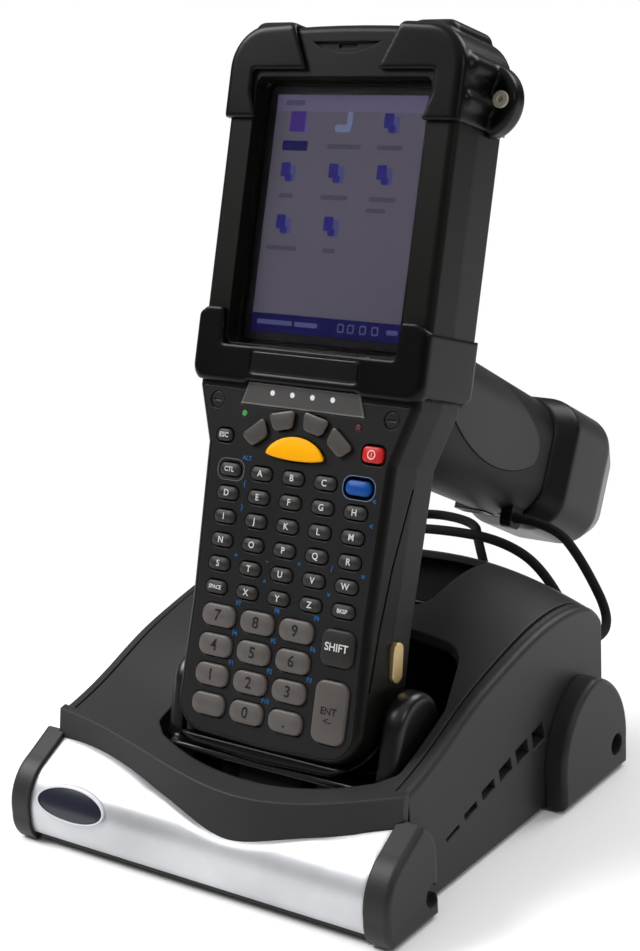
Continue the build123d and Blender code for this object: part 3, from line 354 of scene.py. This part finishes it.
# ---------------------------------------------------------------- terminal housing
# Two moulded half shells. The front one is near black with a satin grain and carries a
# bare gloss plate; the rear one is a shade lighter and shows as a band down both sides.
# The grip's core, the trigger and the battery's latch are moulded in the rear one's plastic.
front_shell = moulded("housing_black", (0.0038, 0.0036, 0.0030), rough=0.4, relief=0.00003,
                      shine=0.11)
rear_shell = moulded("housing_charcoal", (0.0055, 0.0055, 0.0045), rough=0.36, relief=0.00003,
                     shine=0.14)
plate_gloss = moulded("nameplate_gloss", (0.004, 0.004, 0.004), rough=0.2, relief=0.000002,
                      wear_and_sheen=0.0, shine=0.5)
dress(front_shell, "front_housing")
dress(rear_shell, "rear_housing", "grip_shell", "trigger", "battery_latch")
dress(plate_gloss, "nameplate")

# ---------------------------------------------------------------- grip and battery butt
# The grip is a rubber sleeve over the core with a smoother lozenge let into each side. The
# flared butt is the end of the battery pack.
sleeve_rubber = moulded("grip_rubber", (0.0036, 0.0036, 0.0037), rough=0.45, grain=0.0007,
                        relief=0.00006, shine=0.12)
inlay_plastic = moulded("inlay_smooth", (0.0130, 0.0130, 0.0128), rough=0.42, relief=0.00001,
                        shine=0.18)
butt_plastic = moulded("butt_plastic", (0.0042, 0.0041, 0.0043), rough=0.36, shine=0.15)
dress(sleeve_rubber, "grip_sleeve")
dress(inlay_plastic, "grip_inlays")
soft_skin("battery_pack", "battery_pack", butt_plastic, grid=0.0008, passes=6)

# ---------------------------------------------------------------- display
# The lit panel sits under a clear touch screen, inside a black border. Its picture is a
# plain desktop of small page icons, grey label smudges and a dark blue bar of icons. The
# picture is laid out in millimetres from the middle of the panel.
dock_place = (0.014, -0.0473, 0.0372)
dock_tilt = math.radians(-17.25)
terminal_frame = Matrix.Translation(dock_place) @ Matrix.Rotation(dock_tilt, 4, "X")
facing_front = Matrix.Rotation(math.radians(90), 4, "X")
display_middle = 0.175
panel_depth = 0.00062
layer_rise = 0.00004
tile_thickness = 0.00002
lit_width, lit_height = 57.6, 76.8
title_middle, title_height = 35.7, 5.4
bar_middle, bar_height = -35.4, 6.0
bar_icon_line = -35.2
label_drop = 7.4
icons = [
    ("chosen", -19.8, 29.4, 10.0), ("sheets", -1.1, 29.4, 13.0), ("page", 16.3, 29.4, 9.5),
    ("page", -21.4, 13.2, 5.5), ("page", -2.5, 13.2, 10.5), ("page", 15.9, 13.2, 10.0),
    ("page", -20.8, -3.7, 12.0), ("page", -2.0, -3.7, 5.0)]
screen_colours = {
    "desktop": (0.070, 0.064, 0.084),
    "title_bar": (0.083, 0.072, 0.122),
    "title_smudge": (0.050, 0.043, 0.078),
    "task_bar": (0.0035, 0.0030, 0.050),
    "icon_violet": (0.030, 0.013, 0.115),
    "icon_violet_pale": (0.075, 0.050, 0.16),
    "icon_pale": (0.10, 0.12, 0.20),
    "icon_page": (0.012, 0.010, 0.105),
    "icon_page_pale": (0.042, 0.044, 0.130),
    "label_smudge": (0.046, 0.042, 0.056),
    "bar_icons": (0.060, 0.060, 0.14)}
screen_glow = 0.4
screen_pieces = {group: [] for group in screen_colours}


def on_terminal(piece, x, y, z):
    """Move a piece drawn flat, facing up, onto the terminal's face and fix it in its mesh."""
    seat = terminal_frame @ Matrix.Translation((x, y, z)) @ facing_front
    piece.data.transform(seat @ piece.matrix_world)
    piece.matrix_world = Matrix.Identity(4)
    return piece


def joined(name, pieces):
    """Join pieces of one colour into one mesh."""
    bpy.ops.object.select_all(action="DESELECT")
    for piece in pieces:
        piece.select_set(True)
    bpy.context.view_layer.objects.active = pieces[0]
    if len(pieces) > 1:
        bpy.ops.object.join()
    whole = bpy.context.object
    whole.name = name
    whole.data.name = name
    return whole


def printed(name, colour, glow=0.0):
    """Ink or lit picture: an even colour broken up by a fine dot pattern."""
    material, nodes, links, shader = new_material(name, shine=0.08)
    shader.inputs["Roughness"].default_value = 0.5
    place = add_node(nodes, "TexCoord")
    dots = add_node(nodes, "TexNoise", Scale=2200.0)
    links.new(place.outputs["Object"], dots.inputs["Vector"])
    tint = nodes.new("ShaderNodeMix")
    tint.data_type = "RGBA"
    tint.inputs["A"].default_value = (*[c * 0.88 for c in colour], 1)
    tint.inputs["B"].default_value = (*[min(c * 1.12, 1) for c in colour], 1)
    links.new(dots.outputs["Fac"], tint.inputs["Factor"])
    links.new(tint.outputs["Result"], shader.inputs["Base Color"])
    if glow:
        links.new(tint.outputs["Result"], shader.inputs["Emission Color"])
        shader.inputs["Emission Strength"].default_value = glow
    return material


def tile(group, x, z, width, height, layer, corner=0.0):
    """A thin tile of the picture, with rounded corners; a higher layer lies further out."""
    bpy.ops.mesh.primitive_plane_add(size=1)
    plate = bpy.context.object
    bpy.ops.object.mode_set(mode="EDIT")
    bpy.ops.transform.resize(value=(width / 1000, height / 1000, 1))
    if corner:
        bpy.ops.mesh.bevel(offset=corner / 1000, segments=3, affect="VERTICES")
    bpy.ops.mesh.extrude_region_move(TRANSFORM_OT_translate={"value": (0, 0, tile_thickness)})
    bpy.ops.mesh.select_all(action="SELECT")
    bpy.ops.mesh.normals_make_consistent(inside=False)
    bpy.ops.object.mode_set(mode="OBJECT")
    on_terminal(plate, x / 1000, panel_depth - layer * layer_rise, display_middle + z / 1000)
    screen_pieces[group].append(plate)


tile("desktop", 0, 0, lit_width, lit_height, 0)
tile("title_bar", 0, title_middle, lit_width, title_height, 1)
tile("task_bar", 0, bar_middle, lit_width, bar_height, 1)
tile("title_smudge", -21.5, 35.8, 7.5, 1.7, 2, 0.6)
for kind, x, z, label_width in icons:
    if kind == "chosen":
        tile("icon_violet", x, z + 0.4, 6.0, 6.6, 2, 0.5)
        tile("icon_violet_pale", x + 2.2, z - 0.6, 3.4, 5.4, 1, 0.5)
        tile("task_bar", x, z - label_drop, label_width, 3.2, 2, 0.3)
    elif kind == "sheets":
        tile("icon_pale", x - 0.8, z - 1.6, 6.2, 2.4, 2, 1.1)
        tile("icon_pale", x + 1.6, z + 1.0, 2.0, 5.6, 3, 0.9)
    else:
        tile("icon_page", x - 1.0, z + 1.1, 3.6, 4.6, 2, 0.4)
        tile("icon_page_pale", x + 1.4, z - 0.2, 3.4, 5.4, 1, 0.8)
        tile("icon_page", x + 0.4, z - 1.5, 2.8, 2.4, 3, 0.8)
    if kind != "chosen":
        tile("label_smudge", x + 0.4, z - label_drop, label_width, 1.5, 2, 0.6)
tile("label_smudge", 14.3, 2.2, 7.5, 1.4, 2, 0.6)
for x, width in ((-19.5, 14.0), (-7.0, 9.0), (26.0, 4.2)):
    tile("bar_icons", x, bar_icon_line, width, 1.5, 2, 0.5)
for x in (6.6, 10.4, 15.0, 19.6):
    tile("bar_icons", x, bar_icon_line, 2.6, 2.9, 2, 0.6)
    tile("task_bar", x, bar_icon_line, 1.6, 1.9, 3, 0.4)
for group, colour in screen_colours.items():
    picture = joined("screen_" + group, screen_pieces[group])
    light = printed("screen_" + group + "_light", colour, glow=screen_glow)
    fix_on(picture, light, "terminal")
module_black = moulded("display_border", (0.010, 0.008, 0.009), rough=0.4, relief=0.000003,
                       wear_and_sheen=0.0, shine=0.2)
dress(module_black, "lcd_module")


def clear(name, colour, rough):
    """Clear moulding or glass with a faint haze and fine wipe marks."""
    material, nodes, links, shader = new_material(name, shine=0.1)
    shader.inputs["Base Color"].default_value = (*colour, 1)
    shader.inputs["Transmission Weight"].default_value = 1.0
    shader.inputs["IOR"].default_value = 1.2
    place = add_node(nodes, "TexCoord")
    wipe = add_node(nodes, "TexNoise", Scale=60.0, Distortion=1.5)
    links.new(place.outputs["Object"], wipe.inputs["Vector"])
    haze = add_node(nodes, "MapRange", To_Min=rough, To_Max=rough + 0.05)
    links.new(wipe.outputs["Fac"], haze.inputs["Value"])
    links.new(haze.outputs[0], shader.inputs["Roughness"])
    return material


dress(clear("touch_screen_clear", (0.93, 0.93, 0.96), 0.02), "touch_panel")

# ---------------------------------------------------------------- keypad plate and lights
# A near black moulded plate carries every key. Above the keys lies a smoke grey trapezoid
# lens whose edges are painted bright as a reflection, with four small white marks on its
# face that carry a faint painted glow. A green light stands on its left and a red one on its
# right.
plate_front = -0.006
lens_front = -0.0065
lens_middle = 0.1170
mark_pitch = 0.0078
keypad_black = moulded("keypad_black", (0.0065, 0.0057, 0.0058), rough=0.4, grain=0.0003,
                       relief=0.00001, wear_and_sheen=0.1, shine=0.25)
dress(keypad_black, "keypad_plate", "key_mat")
# The lens's bright edge colour is a painted reflection.
lens_grey = moulded("indicator_lens_smoke", (0.060, 0.058, 0.056), rough=0.16, relief=0.000003,
                    wear_and_sheen=1.0, shine=0.5, edge=0.0007, wear_and_sheen_colour=(0.45, 0.44, 0.43))
dress(lens_grey, "indicator_lens")
marks = []
for column in range(4):
    bpy.ops.mesh.primitive_cylinder_add(vertices=20, radius=0.0009, depth=0.0003)
    mark = bpy.context.object
    bpy.ops.object.mode_set(mode="EDIT")
    bpy.ops.mesh.select_all(action="SELECT")
    bpy.ops.mesh.bevel(offset=0.0001, segments=2)
    bpy.ops.object.mode_set(mode="OBJECT")
    marks.append(on_terminal(mark, (column - 1.5) * mark_pitch, lens_front, lens_middle))
# The white marks are printed, and their faint glow is painted light.
fix_on(joined("lens_marks", marks), printed("mark_white_painted_glow", (0.55, 0.55, 0.58), glow=0.15),
       "terminal")


def split_by_x(name, left_colour, right_colour, where, rough=0.3, metal=0.0):
    """One finish for like parts of two colours, told apart by their side of the piece."""
    material = moulded(name, left_colour, rough=rough, relief=0.000004, wear_and_sheen=0.0, shine=0.4,
                       metal=metal)
    nodes, links, shader = opened(material)
    place = add_node(nodes, "TexCoord")
    axes = add_node(nodes, "SeparateXYZ")
    links.new(place.outputs["Object"], axes.inputs[0])
    right_side = beyond(nodes, links, axes.outputs["X"], where)
    lay_over(nodes, links, shader, right_side, right_colour)
    return material


green_and_red = split_by_x("light_colours", (0.05, 0.20, 0.06), (0.09, 0.02, 0.02),
                           dock_place[0])
dress(green_and_red, "status_lights")

# ---------------------------------------------------------------- keys
# Moulded silicone rubber keys with domed tops, pushed up through the plate from a mat
# behind it. Each cap is modelled once, copied to its places and joined to one row. The
# scan key and the four keys round its top are wider than the stems that carry them.
letter_pitch = 0.01252
letter_row_pitch = 0.00767
letter_first_z = 0.091
number_pitch = 0.01545
number_row_pitch = 0.00966
number_first_x = -0.0224
number_first_z = 0.0437
right_column_x = 0.0248
shift_z = 0.0410
enter_z = 0.0209
corner_key_x = 0.0289
corner_key_z = 0.1018
scan_z = 0.0986
scan_top_drop = 0.0007
skirt_depth = 0.0012
top_start = 0.0009
legend_sink = 0.00006
ink_thickness = 0.00012
ink_weight = 0.00004
letter_size = 0.0029
word_size = letter_size * 0.62
figure_size = 0.0052


def rise_by_rings(width, height, rim, crown, middle=0.0):
    """With the top face selected: roll its edge over and crown its middle, ring by ring."""
    short = min(width, height) / 2
    rings = [(rim * (1 - math.cos(math.radians(turn))), rim * math.sin(math.radians(turn)))
             for turn in (22, 45, 67, 90)]
    rings += [(rim + (short - rim) * share, rim + crown * rise)
              for share, rise in ((0.3, 0.5), (0.6, 0.82), (0.85, 1.0))]
    inset, level = 0.0, 0.0
    for next_inset, next_level in rings:
        step = (0, 0, next_level - level)
        bpy.ops.mesh.extrude_region_move(TRANSFORM_OT_translate={"value": step})
        bpy.ops.transform.resize(value=((width / 2 - next_inset) / (width / 2 - inset),
                                        (height / 2 - next_inset) / (height / 2 - inset), 1),
                                 center_override=(0, middle, 0))
        inset, level = next_inset, next_level


def raise_cap(cap, wall, width, height, rim, crown, middle=0.0):
    """With a cap's outline selected: raise its wall, shape its top and finish its faces."""
    bpy.ops.mesh.extrude_region_move(TRANSFORM_OT_translate={"value": (0, 0, wall)})
    rise_by_rings(width, height, rim, crown, middle)
    bpy.ops.mesh.select_all(action="SELECT")
    bpy.ops.mesh.normals_make_consistent(inside=False)
    bpy.ops.object.mode_set(mode="OBJECT")
    bpy.ops.object.shade_smooth_by_angle(angle=math.radians(40))
    return cap


def key_cap(width, height, corner, proud, rim, crown, lean=1.0, start=-skirt_depth):
    """One domed cap, drawn facing up; its far edge is wider than its near one by lean."""
    bpy.ops.mesh.primitive_plane_add(size=1, location=(0, 0, start))
    cap = bpy.context.object
    bpy.ops.object.transform_apply(location=True)
    for point in cap.data.vertices:
        point.co.x *= width * (lean if point.co.y > 0 else 1.0)
        point.co.y *= height
    bpy.ops.object.mode_set(mode="EDIT")
    bpy.ops.mesh.select_all(action="SELECT")
    bpy.ops.mesh.bevel(offset=corner, segments=7, affect="VERTICES")
    return raise_cap(cap, proud - rim - crown - start, width, height, rim, crown)


def half_moon_cap(half, top, bottom, proud, rim, crown, full=1.0, start=-skirt_depth):
    """A half moon between two curves, pointed where full is 1 and blunter below it."""
    bpy.ops.mesh.primitive_circle_add(vertices=64, radius=1, fill_type="NGON")
    cap = bpy.context.object
    for point in cap.data.vertices:
        reach = top if point.co.y > 0 else bottom
        away = reach * max(1 - point.co.x ** 2, 0) ** full
        point.co = (half * point.co.x, math.copysign(away, point.co.y), start)
    bpy.ops.object.mode_set(mode="EDIT")
    bpy.ops.mesh.select_all(action="SELECT")
    bpy.ops.mesh.remove_doubles(threshold=0.00002)
    return raise_cap(cap, proud - rim - crown - start, 2 * half, top + bottom, rim, crown,
                     (top - bottom) / 2)


def lettering(text, size, x, y, z):
    """Raised or printed characters, sunk a little into what carries them."""
    bpy.ops.object.text_add()
    line = bpy.context.object
    line.data.body = text
    line.data.size = size
    line.data.align_x = "CENTER"
    line.data.align_y = "CENTER"
    line.data.extrude = ink_thickness
    line.data.offset = ink_weight
    line.data.resolution_u = 3
    bpy.ops.object.convert(target="MESH")
    return on_terminal(bpy.context.object, x, y, z)


def keys(node, cap, places, material, legends=(), ink=None, top=0.0, turn=0.0):
    """Copy a cap to its places as one piece for a node, with its legends on top.

    A legend is its text, its size and how far it stands above the middle of its key. The
    legends lie at the height of the caps' tops over the plate.
    """
    copies = []
    for x, z in places:
        copy = cap.copy()
        copy.data = cap.data.copy()
        bpy.context.scene.collection.objects.link(copy)
        copy.data.transform(Matrix.Rotation(turn, 4, "Z"))
        copies.append(on_terminal(copy, x, plate_front, z))
    row = joined(node + "_caps", copies)
    fix_on(row, material, node)
    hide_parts(node)
    signs = [lettering(text, size, x, plate_front - top + legend_sink, z + above)
             for (x, z), (text, size, above) in zip(places, legends) if text]
    if signs:
        fix_on(joined(node + "_legends", signs), ink, node)


letter_rubber = moulded("letter_key_rubber", (0.0175, 0.0162, 0.0145), rough=0.42,
                        relief=0.000006, wear_and_sheen=0.2, shine=0.2)
number_rubber = moulded("number_key_rubber", (0.070, 0.061, 0.055), rough=0.42,
                        relief=0.000006, wear_and_sheen=0.3, shine=0.35)
ink_white = printed("legend_white", (0.50, 0.50, 0.50))
ink_dark = printed("legend_dark", (0.015, 0.015, 0.016))
ink_blue = printed("legend_blue", (0.015, 0.10, 0.25))

letter_cap = key_cap(width=0.0083, height=0.0042, corner=0.00195, proud=0.0011, rim=0.0005,
                     crown=0.0004)
for row, letters in enumerate(["ABC", "DEFGH", "IJKLM", "NOPQR", "STUVW", " XYZ "]):
    first = -1 if row == 0 else -2
    z = letter_first_z - row * letter_row_pitch
    places = [((first + column) * letter_pitch, z) for column in range(len(letters))]
    legends = [(letter.strip(), letter_size, 0) for letter in letters]
    if row == 5:
        legends[0] = ("SPACE", word_size, 0)
        legends[4] = ("BKSP", word_size, 0)
    keys("letter_row_" + letters.strip().lower(), letter_cap, places,
         letter_rubber, legends, ink_white, top=0.00105)

number_cap = key_cap(width=0.0132, height=0.0072, corner=0.0031, proud=0.0015, rim=0.0007,
                     crown=0.00045)
for row, figures in enumerate(["789", "456", "123", " 0."]):
    name = "zero" if "0" in figures else figures
    z = number_first_z - row * number_row_pitch
    places = [(column * number_pitch + number_first_x, z) for column in range(3)]
    legends = [(figure.strip(), figure_size, 0) for figure in figures]
    keys("number_row_" + name, number_cap, places, number_rubber,
         legends, ink_dark, top=0.00147)

shift_cap = key_cap(width=0.0124, height=0.0116, corner=0.0030, proud=0.0014, rim=0.0007,
                    crown=0.0004)
keys("shift_key", shift_cap, [(right_column_x, shift_z)], letter_rubber,
     [("SHIFT", 0.0035, 0.0002)], ink_white, top=0.00137)
enter_cap = key_cap(width=0.0124, height=0.0198, corner=0.0034, proud=0.0015, rim=0.0007,
                    crown=0.0004)
keys("enter_key", enter_cap, [(right_column_x, enter_z)], number_rubber,
     [("ENT", 0.0032, 0.0004)], ink_dark, top=0.00147)
escape_cap = key_cap(width=0.0062, height=0.0040, corner=0.0019, proud=0.0010, rim=0.0005,
                     crown=0.0003)
keys("escape_key", escape_cap, [(-corner_key_x, corner_key_z)],
     letter_rubber, [("ESC", 0.0022, 0)], ink_white, top=0.00097)
keys("control_key", letter_cap, [(-2 * letter_pitch, letter_first_z)],
     letter_rubber, [("CTL", 0.0021, 0)], ink_white, top=0.00105)
function_cap = key_cap(width=0.0092, height=0.0047, corner=0.0021, proud=0.0013, rim=0.0006,
                       crown=0.0004)
function_blue = moulded("function_key_blue", (0.003, 0.050, 0.22), rough=0.3, relief=0.000004,
                        wear_and_sheen=0.1, shine=0.15)
keys("function_key", function_cap, [(2 * letter_pitch, letter_first_z)],
     function_blue)
power_cap = key_cap(width=0.0073, height=0.0050, corner=0.0016, proud=0.0013, rim=0.0005,
                    crown=0.0003)
power_red = moulded("power_key_red", (0.42, 0.012, 0.012), rough=0.32, relief=0.000004,
                    wear_and_sheen=0.3, shine=0.25)
keys("power_key", power_cap, [(corner_key_x, corner_key_z)], power_red)

scan_stem = half_moon_cap(half=0.0105, top=0.0048, bottom=0.0018, proud=0.0012, rim=0.0002,
                          crown=0.0001)
scan_top = half_moon_cap(half=0.0112, top=0.0062, bottom=0.0014, proud=0.0020, rim=0.0006,
                         crown=0.0004, full=0.62, start=top_start)
scan_top.data.transform(Matrix.Translation((0, -scan_top_drop, 0)))
scan_cap = joined("scan_cap", [scan_top, scan_stem])
scan_amber = moulded("scan_key_amber", (0.80, 0.34, 0.0), rough=0.4, relief=0.000004,
                     wear_and_sheen=0.8, shine=0.08, edge=0.0007)
keys("scan_key", scan_cap, [(0, scan_z)], scan_amber)

app_stem = key_cap(width=0.0060, height=0.0054, corner=0.0012, proud=0.0010, rim=0.0003,
                   crown=0.0001, lean=1.3)
app_top = key_cap(width=0.0072, height=0.0058, corner=0.0016, proud=0.00155, rim=0.0004,
                  crown=0.0002, lean=1.45, start=top_start)
app_cap = joined("app_cap", [app_top, app_stem])
app_smoke = moulded("app_key_smoke", (0.050, 0.044, 0.040), rough=0.3, relief=0.000004,
                    wear_and_sheen=0.2, shine=0.4)
app_places = [(-0.0159, 0.1037, 38), (-0.0062, 0.1086, 12), (0.0062, 0.1086, -12),
              (0.0159, 0.1037, -38)]
for number, (x, z, turn) in enumerate(app_places, start=1):
    keys(f"app_key_{number}", app_cap, [(x, z)], app_smoke,
         turn=math.radians(turn))
for template in (letter_cap, number_cap, shift_cap, enter_cap, escape_cap, function_cap,
                 power_cap, scan_cap, app_cap):
    bpy.data.objects.remove(template)

# ---------------------------------------------------------------- printed second legends
# Small blue characters are printed on the plate beside the keys, and a thin line runs
# round the control key and round the blue one. The power key has a pale ring-and-bar sign
# on its top and the enter key has an arrow.
small_sign_size = 0.0021
f_sign_x, f_sign_above = -0.0155, 0.0050
f10_sign_x = number_pitch - 0.0158
alt_sign_x, alt_sign_above = -0.0190, 0.0043
plain_signs = [
    ("(", -1.5, 0.5), (")", -1.5, 1.5), ("<", 2.5, 0.45), ("<", 2.5, 1.45), ("+", -1.5, 3.55),
    ("-", -0.5, 3.55), ("*", 0.5, 3.5), ("/", 1.5, 3.4), ("=", 2.45, 3.5), ("^", -0.5, 4.45),
    ("v", 1.5, 4.43)]
plain_sign_size = 0.0026
ring_thickness, ring_sink = 0.00008, 0.00003
power_ring_front, power_bar_front = 0.00128, 0.00126
enter_arrow_front = 0.00141
enter_arrow_z = 0.0182

second_signs = []
for row in range(3):
    for column in range(3):
        second_signs.append(lettering(
            f"F{(2 - row) * 3 + column + 1}", small_sign_size, column * number_pitch + f_sign_x,
            plate_front, number_first_z + f_sign_above - row * number_row_pitch))
second_signs.append(lettering("F10", small_sign_size, f10_sign_x, plate_front,
                              number_first_z + f_sign_above - 3 * number_row_pitch))
second_signs.append(lettering("ALT", small_sign_size, alt_sign_x, plate_front,
                              letter_first_z + alt_sign_above))
for sign, column, row in plain_signs:
    second_signs.append(lettering(sign, plain_sign_size, column * letter_pitch, plate_front,
                                  letter_first_z - row * letter_row_pitch))
fix_on(joined("plate_second_legends", second_signs), ink_blue, "terminal")


def outline_ring(name, x, width, height, corner, line, material):
    """A thin line printed round a key of the first letter row."""
    bpy.ops.mesh.primitive_plane_add(size=1)
    ring = bpy.context.object
    bpy.ops.object.mode_set(mode="EDIT")
    bpy.ops.transform.resize(value=(width, height, 1))
    bpy.ops.mesh.bevel(offset=corner, segments=10, affect="VERTICES")
    bpy.ops.mesh.inset(thickness=line)
    bpy.ops.mesh.delete(type="ONLY_FACE")
    bpy.ops.mesh.select_all(action="SELECT")
    bpy.ops.mesh.extrude_region_move(TRANSFORM_OT_translate={"value": (0, 0, ring_thickness)})
    bpy.ops.mesh.select_all(action="SELECT")
    bpy.ops.mesh.normals_make_consistent(inside=False)
    bpy.ops.object.mode_set(mode="OBJECT")
    ring.name = name
    on_terminal(ring, x, plate_front + ring_sink, letter_first_z)
    fix_on(ring, material, "terminal")


outline_ring("control_ring", -2 * letter_pitch, width=0.0108, height=0.0072, corner=0.0030,
             line=0.00028, material=printed("ring_grey", (0.10, 0.10, 0.10)))
outline_ring("function_ring", 2 * letter_pitch, width=0.0123, height=0.0076, corner=0.0033,
             line=0.00022, material=printed("ring_pale_blue", (0.10, 0.17, 0.30)))

bpy.ops.mesh.primitive_torus_add(major_segments=36, minor_segments=8, major_radius=0.0013,
                                 minor_radius=0.00024)
power_ring = on_terminal(bpy.context.object, corner_key_x, plate_front - power_ring_front,
                         corner_key_z)
power_bar = lettering("I", 0.0016, corner_key_x, plate_front - power_bar_front, corner_key_z)
fix_on(joined("power_sign", [power_ring, power_bar]),
       printed("power_sign_pale", (0.75, 0.42, 0.38)), "power_key")

enter_arrow = lettering("<-", 0.0034, right_column_x, plate_front - enter_arrow_front,
                        enter_arrow_z)
enter_arrow.name = "enter_arrow"
fix_on(enter_arrow, ink_dark, "enter_key")

# ---------------------------------------------------------------- metal, optics and boards
# Brass charging bars in both side walls, the steel trigger pin and spring, the face's two
# blackened screws and the bright eyelet of the strap lug. The scan engine stands behind a
# red window; the boards are green laminate, and the connectors on them are black plastic.
eyelet_side_x = 0.052
brass = moulded("brass_bar", (0.62, 0.46, 0.22), rough=0.3, relief=0.000003, wear_and_sheen=0.0,
                shine=0.5, metal=0.8)
steel = moulded("bright_steel", (0.35, 0.35, 0.36), rough=0.28, relief=0.000003, wear_and_sheen=0.0,
                shine=0.5, metal=1.0)
screws_and_eyelet = split_by_x("screw_steel_and_eyelet", (0.02, 0.02, 0.021),
                               (0.55, 0.50, 0.40), eyelet_side_x, rough=0.35, metal=0.6)
window_red = clear("scan_window_red", (0.35, 0.05, 0.06), 0.03)
board_green = moulded("board_dark_green", (0.005, 0.018, 0.010), rough=0.4, relief=0.00002,
                      wear_and_sheen=0.0, shine=0.4)
connector_black = moulded("connector_black", (0.01, 0.01, 0.01), rough=0.4, relief=0.000006,
                          shine=0.4)
dress(brass, "side_contacts")
dress(steel, "trigger_pin", "trigger_spring", "scan_engine")
dress(screws_and_eyelet, "housing_screws")
dress(window_red, "scan_window")
dress(board_green, "main_board", "cradle_board")
dress(connector_black, "contact_block", "dock_connector", "rear_sockets")
